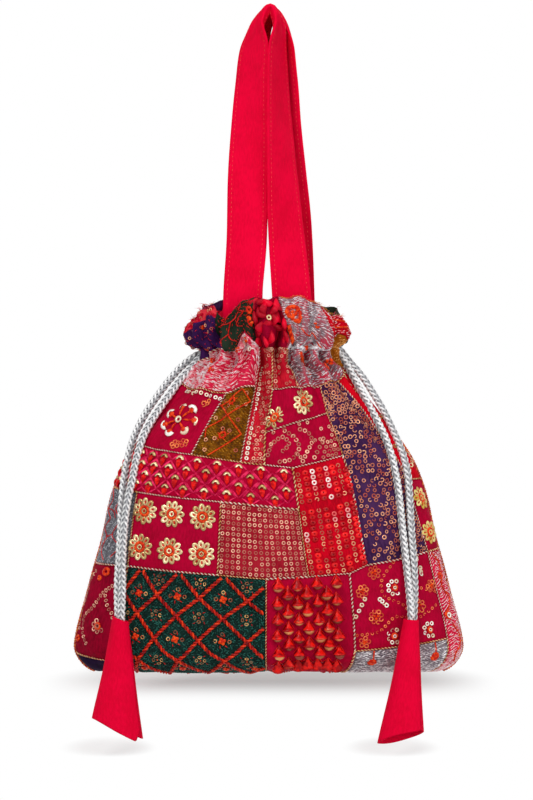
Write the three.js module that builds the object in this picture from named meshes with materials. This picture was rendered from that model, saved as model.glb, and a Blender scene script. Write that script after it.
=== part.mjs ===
// A potli bag: a small drawstring pouch of patchwork cloth with a gathered neck, two cloth
// handles, two braided drawcords and a cloth tassel where the ends of each cord meet.
// Millimetres, +Z up. The front faces -Y. The origin is where a hook carries both handles,
// so the bag hangs below it.
import * as THREE from "three";

// Cloth and sewing sizes.
const clothThickness = 1.2;
const liningThickness = 1.0;
const liningClearance = 1.5;
const seamGap = 0.85;

// The bag's outline: how far below the hook its rim is, and its half width and half depth at
// named heights. Body stations are measured up from the base or down from the neck.
const hookToRim = 186;
const headingHeight = 33;
const bodyHeight = 209;
const baseCornerRadius = 17;
const baseEdgeHeight = 14;
const baseFoldLength = 40;
const hip = { up: 20, halfWidth: 125, halfDepth: 37 };
const belly = { up: 72, halfWidth: 111.5, halfDepth: 42 };
const shoulder = { belowNeck: 77, halfWidth: 95, halfDepth: 40 };
const slope = { belowNeck: 44, halfWidth: 72.5, halfDepth: 34 };
const throat = { belowNeck: 15, halfWidth: 47.5, halfDepth: 28.5 };
const neck = { halfWidth: 43, halfDepth: 26 };
const flare = { aboveNeck: 13, halfWidth: 50, halfDepth: 32 };
const rim = { aboveNeck: headingHeight, halfWidth: 46, halfDepth: 33 };

// Gathers: small pleats bunched by the cord, wider ruffles in the heading above it, and the
// long folds that run down from the neck.
const pleatCount = 22;
const pleatDepth = 3.2;
const pleatFadeBelow = 26;
const pleatFadeAbove = 16;
const ruffleCount = 9;
const ruffleDepth = 4.2;
const ruffleRest = 0.35;
const rimDroop = 13;
const foldStart = 15;
// Each long fold: its place across the panel at the neck, its depth, the width of its valley
// as a share of the panel, and how far it runs below the neck.
const frontFolds = [
  { across: -0.6, depth: 4.5, width: 0.07, length: 80 },
  { across: -0.3, depth: 4.0, width: 0.06, length: 60 },
  { across: 0.01, depth: 6.5, width: 0.06, length: 95 },
  { across: 0.38, depth: 8.0, width: 0.07, length: 75 },
  { across: 0.72, depth: 4.0, width: 0.07, length: 55 },
];
const backFolds = [
  { across: -0.66, depth: 4.0, width: 0.07, length: 70 },
  { across: -0.2, depth: 6.0, width: 0.07, length: 90 },
  { across: 0.24, depth: 4.5, width: 0.06, length: 65 },
  { across: 0.62, depth: 5.5, width: 0.07, length: 80 },
];

// Drawcords, the two turns they make in the channel at the neck, and the slots in the side
// seams that they leave by.
const cordDiameter = 5;
const cordSides = 8;
const cordSteps = 60;
const cordGap = 0.4;
const channelSpacing = 5.8;
const exitHalfWidth = 7;
const exitHalfHeight = 15;
const exitBelowNeck = 4;

// Handles: one folded strap each, bunched where they pass over the hook.
const strapWidth = 25;
const strapThickness = 2;
const bunchedWidth = 15;
const bunchedThickness = 3.2;
const bunchedLength = 40;

// Tassels: cloth rolled to a flat cone round the ends of a cord, open below.
const tasselCloth = 1;
const tasselOverlapDegrees = 75;
const tasselTop = { halfWidth: 4.8, halfDepth: 6.1 };
const tasselFoot = { halfWidth: 15.6, halfDepth: 9 };

const rimLevel = -hookToRim;
const neckLevel = rimLevel - headingHeight;
const baseLevel = neckLevel - bodyHeight;
const quarterTurn = Math.PI / 2;

const clamp = (x, low, high) => Math.min(high, Math.max(low, x));
const smooth = (x) => {
  const t = clamp(x, 0, 1);
  return t * t * (3 - 2 * t);
};
const mix = (a, b, t) => a + (b - a) * t;

// A smooth curve through stations of increasing height, with the slope at each taken from
// its two neighbours.
function profile(stations, key) {
  const slopes = stations.map((s, i) => {
    const before = stations[Math.max(i - 1, 0)];
    const after = stations[Math.min(i + 1, stations.length - 1)];
    return (after[key] - before[key]) / (after.height - before.height);
  });
  return (height) => {
    let i = stations.findIndex((s) => s.height > height) - 1;
    if (i < 0) i = height < stations[0].height ? 0 : stations.length - 2;
    const a = stations[i];
    const b = stations[i + 1];
    const span = b.height - a.height;
    const t = clamp((height - a.height) / span, 0, 1);
    const rise = slopes[i] * span * (t ** 3 - 2 * t * t + t) + slopes[i + 1] * span * (t ** 3 - t * t);
    return a[key] * (2 * t ** 3 - 3 * t * t + 1) + b[key] * (3 * t * t - 2 * t ** 3) + rise;
  };
}

const outline = [
  { height: 0, halfWidth: hip.halfWidth, halfDepth: hip.halfDepth },
  { height: hip.up, ...hip },
  { height: belly.up, ...belly },
  { height: bodyHeight - shoulder.belowNeck, ...shoulder },
  { height: bodyHeight - slope.belowNeck, ...slope },
  { height: bodyHeight - throat.belowNeck, ...throat },
  { height: bodyHeight, ...neck },
  { height: bodyHeight + flare.aboveNeck, ...flare },
  { height: bodyHeight + rim.aboveNeck, ...rim },
];
const outlineWidth = profile(outline, "halfWidth");
const outlineDepth = profile(outline, "halfDepth");

// A place on the cloth is given by "across", from -1 at the left side seam to 1 at the right
// one as its own side is looked at, and "up", from 0 at the base seam through 1 at the neck
// to 2 at the rim. The first stretch of "up" is the fold under the base.
const clothLength = baseFoldLength + bodyHeight - baseEdgeHeight;
function level(up) {
  if (up > 1) return { height: bodyHeight + (up - 1) * headingHeight, turn: 1 };
  const along = up * clothLength;
  if (along >= baseFoldLength) return { height: along - baseFoldLength + baseEdgeHeight, turn: 1 };
  const angle = (along / baseFoldLength) * quarterTurn;
  return { height: baseEdgeHeight * (1 - Math.cos(angle)), turn: Math.sin(angle) };
}

// How far the gathers push the cloth out, at an angle round the bag in turns from the middle
// of the front, and a height over the neck that is negative below it.
function gather(turn, overNeck) {
  const round = turn * 2 * Math.PI;
  const wander = 0.5 * Math.sin(2 * round + 0.6) + 0.4 * Math.sin(3 * round);
  const below = Math.min(overNeck, 0);
  const above = Math.max(overNeck, 0);
  const pleat = pleatDepth * Math.exp(below / pleatFadeBelow - above / pleatFadeAbove);
  const ruffle = ruffleDepth * smooth(above / (0.6 * headingHeight));
  const ripple = Math.cos(pleatCount * round + wander);
  const wave = Math.cos(ruffleCount * round + 1.9 * wander + 0.8);
  return pleat * ripple + ruffle * (ruffleRest + (1 - ruffleRest) * wave);
}

function foldDepth(folds, across, overNeck) {
  let depth = 0;
  for (const fold of folds) {
    const fade = smooth(-overNeck / foldStart) * smooth(1 + overNeck / fold.length);
    const spread = fold.width * (1 + Math.max(-overNeck, 0) / 60);
    depth += fold.depth * fade * Math.exp(-(((across - fold.across) / spread) ** 2));
  }
  return depth;
}

// The rim droops outwards at the sides and waves up and down with the ruffles.
function droop(across, overNeck) {
  if (overNeck <= 0) return 0;
  const share = (overNeck / headingHeight) ** 2;
  return -rimDroop * share * Math.abs(across) ** 2.5;
}

// A point of the smooth bag, before gathers, and the direction that points out of it there.
// "inset" draws the whole outline in, for the lining. side is -1 for the front, 1 for the back.
function smoothPoint(side, across, up, inset = 0) {
  const { height, turn } = level(up);
  const fromExit = Math.abs(height - bodyHeight + exitBelowNeck);
  const exit = exitHalfWidth * smooth(1.6 - (1.6 * fromExit) / exitHalfHeight);
  const opening = inset ? 0 : exit / neck.halfDepth;
  const angle = across * (quarterTurn - opening);
  const drop = 1 - Math.min(height, baseCornerRadius) / baseCornerRadius;
  const corner = baseCornerRadius * (1 - Math.sqrt(Math.max(0, 1 - drop * drop)));
  const halfWidth = outlineWidth(height) - corner - inset;
  const halfDepth = (outlineDepth(height) - inset) * turn;
  return new THREE.Vector3(
    halfWidth * Math.sin(angle) * (side < 0 ? 1 : -1),
    side * halfDepth * Math.cos(angle),
    baseLevel + height,
  );
}

function outward(side, across, up) {
  const step = 0.004;
  const a = clamp(across, -0.98, 0.98);
  const u = Math.max(up, 0.012);
  const dAcross = smoothPoint(side, a + step, u).sub(smoothPoint(side, a - step, u));
  const dUp = smoothPoint(side, a, u + step).sub(smoothPoint(side, a, u - step));
  const normal = dAcross.cross(dUp).normalize();
  if (Math.abs(across) > 0.999 || up < 0.001) normal.setY(0).normalize();
  return normal;
}

// A point of the gathered cloth. depth is how far inside the outer face it lies.
function clothPoint(side, across, up, depth) {
  const { height } = level(up);
  const overNeck = height - bodyHeight;
  const turn = side < 0 ? across / 4 : 0.5 + across / 4;
  const folds = side < 0 ? frontFolds : backFolds;
  const out = outward(side, across, up);
  const push = gather(turn, overNeck) - foldDepth(folds, across, overNeck);
  const point = smoothPoint(side, across, up);
  point.addScaledVector(out, push - depth);
  point.y += (side * seamGap) / 2;
  point.z += droop(across, overNeck);
  return point;
}

// A closed solid from a grid of points on its outer face and one on its inner face.
function slab(outer, inner, closedAcross = false) {
  const rows = outer.length;
  const columns = outer[0].length;
  const points = [...outer.flat(), ...inner.flat()];
  const at = (layer, i, j) => layer * rows * columns + i * columns + (j % columns);
  const indices = [];
  const quad = (a, b, c, d) => indices.push(a, b, c, a, c, d);
  const cells = closedAcross ? columns : columns - 1;
  for (let i = 0; i < rows - 1; i++)
    for (let j = 0; j < cells; j++) {
      quad(at(0, i, j), at(0, i, j + 1), at(0, i + 1, j + 1), at(0, i + 1, j));
      quad(at(1, i, j), at(1, i + 1, j), at(1, i + 1, j + 1), at(1, i, j + 1));
    }
  for (let j = 0; j < cells; j++) {
    quad(at(0, 0, j + 1), at(0, 0, j), at(1, 0, j), at(1, 0, j + 1));
    quad(at(0, rows - 1, j), at(0, rows - 1, j + 1), at(1, rows - 1, j + 1), at(1, rows - 1, j));
  }
  if (!closedAcross)
    for (let i = 0; i < rows - 1; i++) {
      quad(at(0, i, 0), at(0, i + 1, 0), at(1, i + 1, 0), at(1, i, 0));
      quad(at(0, i + 1, columns - 1), at(0, i, columns - 1), at(1, i, columns - 1), at(1, i + 1, columns - 1));
    }
  const geometry = new THREE.BufferGeometry();
  const flat = points.flatMap((p) => [p.x, p.y, p.z]);
  geometry.setAttribute("position", new THREE.Float32BufferAttribute(flat, 3));
  geometry.setIndex(indices);
  geometry.computeVertexNormals();
  return geometry;
}

const bag = new THREE.Group();
bag.name = "potli_bag";
function add(name, geometry, material) {
  const mesh = new THREE.Mesh(geometry, material);
  mesh.name = name;
  bag.add(mesh);
  return mesh;
}
const cloth = (colour, roughness = 0.8) =>
  new THREE.MeshStandardMaterial({ color: colour, roughness, metalness: 0, side: THREE.DoubleSide });

// A side of a patch is a run of seam corners, and share 0 to 1 goes along it by distance.
function along(corners, share) {
  const lengths = corners.slice(1).map((c, i) => Math.hypot(c[0] - corners[i][0], c[1] - corners[i][1]));
  let left = share * lengths.reduce((a, b) => a + b, 0);
  for (let i = 0; i < lengths.length; i++) {
    if (left <= lengths[i] || i === lengths.length - 1) {
      const t = clamp(left / lengths[i], 0, 1);
      return [mix(corners[i][0], corners[i + 1][0], t), mix(corners[i][1], corners[i + 1][1], t)];
    }
    left -= lengths[i];
  }
}

// The shares along two facing sides at which to put grid lines: at every corner, and where
// the sides cross the given lines of "across" (k = 0) or "up" (k = 1). Patches that share a
// seam then meet point to point along it.
function gridShares(sides, k, lines) {
  const corners = [0, 1];
  const crossings = [];
  for (const side of sides) {
    const lengths = side.slice(1).map((c, i) => Math.hypot(c[0] - side[i][0], c[1] - side[i][1]));
    const total = lengths.reduce((a, b) => a + b, 0);
    let run = 0;
    lengths.forEach((length, i) => {
      const [from, to] = [side[i][k], side[i + 1][k]];
      for (const line of lines)
        if ((from - line) * (to - line) < 0)
          crossings.push((run + (length * (line - from)) / (to - from)) / total);
      run += length;
      if (i < lengths.length - 1) corners.push(run / total);
    });
  }
  const closest = 0.35 / (crossings.length / 2 + 1);
  const kept = [];
  for (const share of [...corners, ...crossings])
    if (kept.every((other) => Math.abs(other - share) > closest)) kept.push(share);
  return kept.sort((a, b) => a - b);
}
const steps = (from, to, step) =>
  Array.from({ length: Math.round((to - from) / step) + 1 }, (_, i) => from + i * step);
const upLines = [...steps(0.05, 0.2, 0.05), ...steps(0.29, 0.83, 0.09), ...steps(0.88, 0.96, 0.04)];
upLines.push(1, 1.11, 1.22, 1.38, 1.58, 1.8);

// A patch is a four-sided piece of the panel. Its sides run along the seams that it shares,
// each drawn back by half the seam gap, apart from the sides on the panel's own edges.
function patchGeometry(side, { bottom, right, top, left }) {
  const reach = Math.max(...[...bottom, ...top].map((c) => c[1]));
  const columnStep = reach > 0.95 ? 0.05 : reach > 0.8 ? 0.1 : 0.15;
  const columns = gridShares([bottom, top], 0, steps(-0.9, 0.9, columnStep));
  const rows = gridShares([left, right], 1, upLines);
  const grid = rows.map((v) =>
    columns.map((u) => {
      const [b, t, l, r] = [along(bottom, u), along(top, u), along(left, v), along(right, v)];
      const corner = (k) =>
        (1 - u) * (1 - v) * bottom[0][k] + u * (1 - v) * bottom.at(-1)[k] + (1 - u) * v * top[0][k] + u * v * top.at(-1)[k];
      return [0, 1].map((k) => (1 - v) * b[k] + v * t[k] + (1 - u) * l[k] + u * r[k] - corner(k));
    }),
  );
  const onPanelEdge = (corners) =>
    corners.every((c) => c[0] === 1) ||
    corners.every((c) => c[0] === -1) ||
    corners.every((c) => c[1] === 0) ||
    corners.every((c) => c[1] === 2);
  const drawn = grid.map((row) => row.map((p) => [...p]));
  const draw = (i, j, i2, j2) => {
    const from = clothPoint(side, ...grid[i][j], 0);
    const to = clothPoint(side, ...grid[i2][j2], 0);
    const share = seamGap / 2 / Math.max(from.distanceTo(to), seamGap);
    for (const k of [0, 1]) drawn[i][j][k] += (grid[i2][j2][k] - grid[i][j][k]) * share;
  };
  const lastRow = rows.length - 1;
  const lastColumn = columns.length - 1;
  for (let j = 0; j <= lastColumn; j++) {
    if (!onPanelEdge(bottom)) draw(0, j, 1, j);
    if (!onPanelEdge(top)) draw(lastRow, j, lastRow - 1, j);
  }
  for (let i = 0; i <= lastRow; i++) {
    if (!onPanelEdge(left)) draw(i, 0, i, 1);
    if (!onPanelEdge(right)) draw(i, lastColumn, i, lastColumn - 1);
  }
  const face = (depth) => drawn.map((row) => row.map((p) => clothPoint(side, ...p, depth)));
  return slab(face(0), face(clothThickness));
}

// The seam corners of the front panel, as [across, up].
const f = {
  baseLeft: [-1, 0],
  baseA: [-0.53, 0],
  baseB: [-0.01, 0],
  baseC: [0.28, 0],
  baseD: [0.74, 0],
  baseRight: [1, 0],
  stripLeft: [-1, 0.16],
  stripA: [-0.55, 0.11],
  waistLeft: [-1, 0.41],
  waistA: [-0.6, 0.405],
  waistB: [-0.187, 0.383],
  waistC: [-0.01, 0.373],
  waistD: [0.142, 0.379],
  waistE: [0.3, 0.387],
  waistF: [0.376, 0.409],
  waistG: [0.757, 0.443],
  waistRight: [1, 0.451],
  bandA: [0.289, 0.174],
  bandB: [0.748, 0.204],
  midLeft: [-1, 0.62],
  midA: [-0.64, 0.607],
  midB: [-0.194, 0.582],
  midC: [0.117, 0.561],
  midD: [0.71, 0.642],
  midRight: [1, 0.642],
  chestLeft: [-1, 0.745],
  chestA: [-0.371, 0.71],
  chestB: [-0.126, 0.69],
  chestC: [-0.02, 0.683],
  chestD: [0.101, 0.674],
  chestE: [0.351, 0.708],
  petalA: [-0.02, 0.772],
  petalB: [0.37, 0.827],
  yokeLeft: [-1, 0.9],
  yokeA: [-0.305, 0.877],
  yokeB: [-0.107, 0.899],
  yokeC: [0.022, 0.885],
  yokeD: [0.228, 0.893],
  yokeE: [0.442, 0.902],
  yokeF: [0.69, 0.915],
  yokeG: [0.8, 0.92],
  yokeRight: [1, 0.935],
  collarLeft: [-1, 0.945],
  neckA: [-0.45, 1.03],
  neckB: [-0.11, 1.03],
  neckC: [0.04, 1.03],
  neckD: [0.18, 1.03],
  cuffA: [0.7, 1.3],
  cuffRight: [1, 1.3],
  rimLeft: [-1, 2],
  rimA: [-0.5, 2],
  rimB: [-0.13, 2],
  rimC: [0.08, 2],
  rimD: [0.66, 2],
  rimRight: [1, 2],
};

const colours = {
  crimson: 0xb3093a,
  bright: 0xc9102f,
  rose: 0xb4304f,
  dusty: 0x9c2a3c,
  green: 0x1d3f38,
  mossy: 0x33403a,
  purple: 0x3a2358,
  plum: 0x2c173f,
  mustard: 0x7d4d12,
  silver: 0x9a97a3,
  slate: 0x6f7580,
  wine: 0x8f1230,
};

// Front patches: name, colour, and the corners of their bottom, right, top and left sides.
const frontPatches = [
  ["hem_plum_strip", "plum", [f.baseLeft, f.baseA], [f.baseA, f.stripA], [f.stripLeft, f.stripA], [f.baseLeft, f.stripLeft]],
  ["wine_flower", "wine", [f.stripLeft, f.stripA], [f.stripA, f.waistA], [f.waistLeft, f.waistA], [f.stripLeft, f.waistLeft]],
  ["slate_vine", "slate", [f.waistLeft, f.waistA], [f.waistA, f.midA], [f.midLeft, f.midA], [f.waistLeft, f.midLeft]],
  ["green_lattice", "green", [f.baseA, f.baseB], [f.baseB, f.waistC], [f.waistA, f.waistB, f.waistC], [f.baseA, f.stripA, f.waistA]],
  ["red_cone_bead", "crimson", [f.baseB, f.baseC], [f.baseC, f.bandA, f.waistE], [f.waistC, f.waistD, f.waistE], [f.baseB, f.waistC]],
  ["silver_band", "silver", [f.baseC, f.baseD], [f.baseD, f.bandB], [f.bandA, f.bandB], [f.baseC, f.bandA]],
  ["crimson_spray", "crimson", [f.bandA, f.bandB], [f.bandB, f.waistG], [f.waistE, f.waistF, f.waistG], [f.bandA, f.waistE]],
  ["rose_side", "rose", [f.baseD, f.baseRight], [f.baseRight, f.waistRight], [f.waistG, f.waistRight], [f.baseD, f.bandB, f.waistG]],
  ["six_flower", "crimson", [f.waistA, f.waistB], [f.waistB, f.midB], [f.midA, f.midB], [f.waistA, f.midA]],
  ["dusty_grid", "dusty", [f.waistB, f.waistC, f.waistD], [f.waistD, f.midC], [f.midB, f.midC], [f.waistB, f.midB]],
  ["red_column", "bright", [f.waistD, f.waistE, f.waistF], [f.waistF, f.chestE], [f.chestD, f.chestE], [f.waistD, f.midC, f.chestD]],
  ["purple_ring", "purple", [f.waistF, f.waistG], [f.waistG, f.midD, f.yokeF], [f.yokeE, f.yokeF], [f.waistF, f.chestE, f.petalB, f.yokeE]],
  ["yellow_flower", "crimson", [f.waistG, f.waistRight], [f.waistRight, f.midRight], [f.midD, f.midRight], [f.waistG, f.midD]],
  ["bright_side", "bright", [f.midD, f.midRight], [f.midRight, f.yokeRight], [f.yokeF, f.yokeG, f.yokeRight], [f.midD, f.yokeF]],
  ["diamond_band", "crimson", [f.midLeft, f.midA, f.midB, f.midC], [f.midC, f.chestD], [f.chestLeft, f.chestA, f.chestB, f.chestC, f.chestD], [f.midLeft, f.chestLeft]],
  ["sequin_flower", "crimson", [f.chestLeft, f.chestA], [f.chestA, f.yokeA], [f.yokeLeft, f.yokeA], [f.chestLeft, f.yokeLeft]],
  ["mustard_lozenge", "mustard", [f.chestA, f.chestB], [f.chestB, f.yokeB], [f.yokeA, f.yokeB], [f.chestA, f.yokeA]],
  ["rose_strip", "rose", [f.chestB, f.chestC], [f.chestC, f.petalA, f.yokeC, f.neckC], [f.neckB, f.neckC], [f.chestB, f.yokeB, f.neckB]],
  ["curl_sequin", "crimson", [f.chestC, f.chestD, f.chestE], [f.chestE, f.petalB], [f.petalA, f.petalB], [f.chestC, f.petalA]],
  ["gold_flower", "crimson", [f.petalA, f.petalB], [f.petalB, f.yokeE], [f.yokeC, f.yokeD, f.yokeE], [f.petalA, f.yokeC]],
  ["throat_sequin", "dusty", [f.yokeC, f.yokeD], [f.yokeD, f.neckD], [f.neckC, f.neckD], [f.yokeC, f.neckC]],
  ["silver_yoke", "silver", [f.yokeD, f.yokeE, f.yokeF, f.yokeG], [f.yokeG, f.cuffA, f.rimD], [f.rimC, f.rimD], [f.yokeD, f.neckD, f.rimC]],
  ["mustard_cuff", "mustard", [f.yokeG, f.yokeRight], [f.yokeRight, f.cuffRight], [f.cuffA, f.cuffRight], [f.yokeG, f.cuffA]],
  ["bright_ruffle", "bright", [f.cuffA, f.cuffRight], [f.cuffRight, f.rimRight], [f.rimD, f.rimRight], [f.cuffA, f.rimD]],
  ["crimson_ruffle", "wine", [f.neckB, f.neckC, f.neckD], [f.neckD, f.rimC], [f.rimB, f.rimC], [f.neckB, f.rimB]],
  ["mossy_ruffle", "mossy", [f.neckA, f.neckB], [f.neckB, f.rimB], [f.rimA, f.rimB], [f.neckA, f.rimA]],
  ["purple_ruffle", "purple", [f.collarLeft, f.neckA], [f.neckA, f.rimA], [f.rimLeft, f.rimA], [f.collarLeft, f.rimLeft]],
  ["rose_yoke", "rose", [f.yokeLeft, f.yokeA, f.yokeB], [f.yokeB, f.neckB], [f.collarLeft, f.neckA, f.neckB], [f.yokeLeft, f.collarLeft]],
];
for (const [name, colour, bottom, right, top, left] of frontPatches)
  add("front_" + name, patchGeometry(-1, { bottom, right, top, left }), cloth(colours[colour]));

// The back panel is pieced in four rows of plainer patches. Each row has its seams across,
// from the left side seam as the back is looked at, and the height of its lower edge.
const backRowEdges = [0, 0.36, 0.62, 0.88, 2];
const backRows = [
  [-0.3, 0.34],
  [-0.45, 0.12, 0.62],
  [-0.2, 0.4],
  [-0.52, -0.05, 0.45],
];
const backColours = [
  ["crimson", "green", "rose"],
  ["purple", "bright", "dusty", "mustard"],
  ["silver", "crimson", "wine"],
  ["mossy", "crimson", "rose", "purple"],
];
backRows.forEach((cuts, row) => {
  const [low, high] = [backRowEdges[row], backRowEdges[row + 1]];
  const edges = [-1, ...cuts, 1];
  const between = (cutsBeside, l, r) => (cutsBeside ?? []).filter((c) => c > l && c < r);
  for (let i = 0; i < edges.length - 1; i++) {
    const [l, r] = [edges[i], edges[i + 1]];
    const bottom = [l, ...between(backRows[row - 1], l, r), r].map((u) => [u, low]);
    const top = [l, ...between(backRows[row + 1], l, r), r].map((u) => [u, high]);
    const sides = { bottom, right: [[r, low], [r, high]], top, left: [[l, low], [l, high]] };
    const colour = backColours[row][i];
    add(`back_row${row + 1}_${colour}_${i + 1}`, patchGeometry(1, sides), cloth(colours[colour]));
  }
});

// The lining: one smooth bag of plain cloth inside the patchwork, drawn in where the cords
// run round it, with a little more room for the handle ends above them.
const liningColumns = 36;
const liningLevels = [0.02, 0.06, 0.1, 0.14, 0.18, 0.25, 0.35, 0.47, 0.58, 0.68, 0.77, 0.85, 0.91, 0.955, 1, 1.24, 1.48, 1.92];
const deepestFold = Math.max(...[...frontFolds, ...backFolds].map((fold) => fold.depth));
const longestFold = Math.max(...[...frontFolds, ...backFolds].map((fold) => fold.length));
const channelInset = pleatDepth + clothThickness + cordGap + cordDiameter / 2;
const liningSag = 0.6;
const handlePocket = 3.8;
const handleInset = clothThickness + strapThickness + 2 * cordGap + handlePocket;
function liningInset(up) {
  const overNeck = level(up).height - bodyHeight;
  const below = Math.max(-overNeck, 0);
  const above = Math.max(overNeck, 0);
  const underFolds = deepestFold * smooth(below / foldStart) * smooth(1 - below / longestFold);
  const pleats = pleatDepth * Math.exp(-below / pleatFadeBelow);
  const nearBase = liningSag * (1 - smooth(level(up).height / belly.up));
  const atCloth = clothThickness + liningClearance + pleats + underFolds + nearBase;
  const flaring = above > 0 ? outlineWidth(bodyHeight + above) - neck.halfWidth : 0;
  const atCords = channelInset + cordDiameter / 2 + cordGap + liningSag + flaring;
  const atHandles = mix(atCords, handleInset, smooth((above - 8) / 7));
  const nearCords = 1 - smooth((below - channelSpacing) / 8);
  return above > 0 ? atHandles : Math.max(atCloth, mix(atCloth, atCords, nearCords));
}
function liningRing(up, depth) {
  const ring = [];
  const floor = depth + clothThickness + liningClearance + liningSag;
  for (let j = 0; j < liningColumns; j++) {
    const round = (j / liningColumns) * 4 - 1;
    const side = round < 1 ? -1 : 1;
    const across = side < 0 ? round : round - 2;
    const point = smoothPoint(side, across, up, liningInset(up) + depth);
    const nearBase = 1 - smooth(level(up).height / (3 * baseEdgeHeight));
    point.z += floor * nearBase + droop(across, level(up).height - bodyHeight);
    ring.push(point);
  }
  return ring;
}
function liningGeometry() {
  const outer = liningLevels.map((up) => liningRing(up, 0));
  const inner = liningLevels.map((up) => liningRing(up, liningThickness));
  return cup(outer, inner);
}

// A closed cup: an outer and an inner stack of rings, open above, with both floors closed by
// strips between the front and back halves of their lowest rings.
function cup(outer, inner) {
  const rows = outer.length;
  const columns = outer[0].length;
  const points = [...outer.flat(), ...inner.flat()];
  const at = (layer, i, j) => layer * rows * columns + i * columns + ((j + columns) % columns);
  const indices = [];
  const quad = (a, b, c, d) => indices.push(a, b, c, a, c, d);
  for (let i = 0; i < rows - 1; i++)
    for (let j = 0; j < columns; j++) {
      quad(at(0, i, j), at(0, i, j + 1), at(0, i + 1, j + 1), at(0, i + 1, j));
      quad(at(1, i, j), at(1, i + 1, j), at(1, i + 1, j + 1), at(1, i, j + 1));
    }
  for (let j = 0; j < columns; j++)
    quad(at(0, rows - 1, j), at(0, rows - 1, j + 1), at(1, rows - 1, j + 1), at(1, rows - 1, j));
  const half = columns / 2;
  for (let k = 0; k < half; k++) {
    const [a, b] = [k, k + 1];
    const [c, d] = [columns - k - 1, columns - k];
    if (k === 0) {
      indices.push(at(0, 0, 0), at(0, 0, columns - 1), at(0, 0, 1));
      indices.push(at(1, 0, 0), at(1, 0, 1), at(1, 0, columns - 1));
    } else if (k === half - 1) {
      indices.push(at(0, 0, a), at(0, 0, d), at(0, 0, b));
      indices.push(at(1, 0, a), at(1, 0, b), at(1, 0, d));
    } else {
      quad(at(0, 0, a), at(0, 0, d), at(0, 0, c), at(0, 0, b));
      quad(at(1, 0, a), at(1, 0, b), at(1, 0, c), at(1, 0, d));
    }
  }
  const geometry = new THREE.BufferGeometry();
  const flat = points.flatMap((p) => [p.x, p.y, p.z]);
  geometry.setAttribute("position", new THREE.Float32BufferAttribute(flat, 3));
  geometry.setIndex(indices);
  geometry.computeVertexNormals();
  return geometry;
}
add("lining", liningGeometry(), cloth(0xc40f35));

// A handle strap follows its centre line. "turn" is the direction of its width in degrees:
// 180 lies flat to the front on the left leg, 90 is edge on over the hook, 0 is flat again.
const strapSides = 6;
function strapGeometry(route, mirror) {
  const curve = new THREE.CatmullRomCurve3(
    route.map((p) => new THREE.Vector3(p.at[0], p.at[1] * mirror, p.at[2])),
    false,
    "centripetal",
  );
  const steps = (route.length - 1) * 3;
  const rings = [];
  for (let i = 0; i <= steps; i++) {
    const t = i / steps;
    const k = Math.min(Math.floor(t * (route.length - 1)), route.length - 2);
    const local = t * (route.length - 1) - k;
    const turn = THREE.MathUtils.degToRad(mix(route[k].turn, route[k + 1].turn, smooth(local)));
    const centre = curve.getPoint(t);
    const tangent = curve.getTangent(t);
    const wide = new THREE.Vector3(Math.cos(turn), Math.sin(turn) * mirror, 0);
    wide.addScaledVector(tangent, -wide.dot(tangent)).normalize();
    const thick = new THREE.Vector3().crossVectors(tangent, wide).multiplyScalar(mirror);
    const bunch = 1 - smooth(-centre.z / bunchedLength);
    const halfWidth = mix(strapWidth, bunchedWidth, bunch) / 2;
    const halfThick = mix(strapThickness, bunchedThickness, bunch) / 2;
    const bevel = halfThick * 0.6;
    const section = [
      [halfWidth, 0],
      [halfWidth - bevel, halfThick],
      [bevel - halfWidth, halfThick],
      [-halfWidth, 0],
      [bevel - halfWidth, -halfThick],
      [halfWidth - bevel, -halfThick],
    ];
    rings.push(section.map(([w, h]) => centre.clone().addScaledVector(wide, w).addScaledVector(thick, h)));
  }
  return tube(rings, mirror < 0);
}

// A closed solid from rings of points, with flat ends.
function tube(rings, flip = false) {
  const sides = rings[0].length;
  const points = rings.flat();
  const indices = [];
  const face = (a, b, c) => (flip ? indices.push(a, c, b) : indices.push(a, b, c));
  const last = (rings.length - 1) * sides;
  for (let i = 0; i < rings.length - 1; i++)
    for (let j = 0; j < sides; j++) {
      const [a, b] = [i * sides + j, i * sides + ((j + 1) % sides)];
      face(a, b, b + sides);
      face(a, b + sides, a + sides);
    }
  for (let j = 1; j < sides - 1; j++) {
    face(0, j + 1, j);
    face(last, last + j, last + j + 1);
  }
  const geometry = new THREE.BufferGeometry();
  const flat = points.flatMap((p) => [p.x, p.y, p.z]);
  geometry.setAttribute("position", new THREE.Float32BufferAttribute(flat, 3));
  geometry.setIndex(indices);
  geometry.computeVertexNormals();
  return geometry;
}

const hookTop = bunchedThickness / 2;
const strapEnd = rimLevel - 17;
const strapAtMouth = 24.5;
const frontRoute = [
  { at: [-17, -strapAtMouth, strapEnd], turn: 163 },
  { at: [-16.8, -strapAtMouth, rimLevel + 2], turn: 163 },
  { at: [-15.3, -19.5, -150], turn: 170 },
  { at: [-13.6, -15.5, -110], turn: 171 },
  { at: [-12.3, -12.7, -73], turn: 155 },
  { at: [-11.3, -11, -48], turn: 143 },
  { at: [-9.4, -9.8, -24], turn: 132 },
  { at: [-7.2, -9.2, -7], turn: 102 },
  { at: [0, -9, hookTop], turn: 90 },
  { at: [6.2, -9.2, -8], turn: 80 },
  { at: [5.2, -9.8, -26], turn: 66 },
  { at: [6, -11, -56], turn: 57 },
  { at: [8.3, -14, -100], turn: 45 },
  { at: [10.6, -18, -138], turn: 31 },
  { at: [14.5, -strapAtMouth, rimLevel + 2], turn: 17 },
  { at: [15.5, -strapAtMouth, strapEnd], turn: 16 },
];
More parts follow.
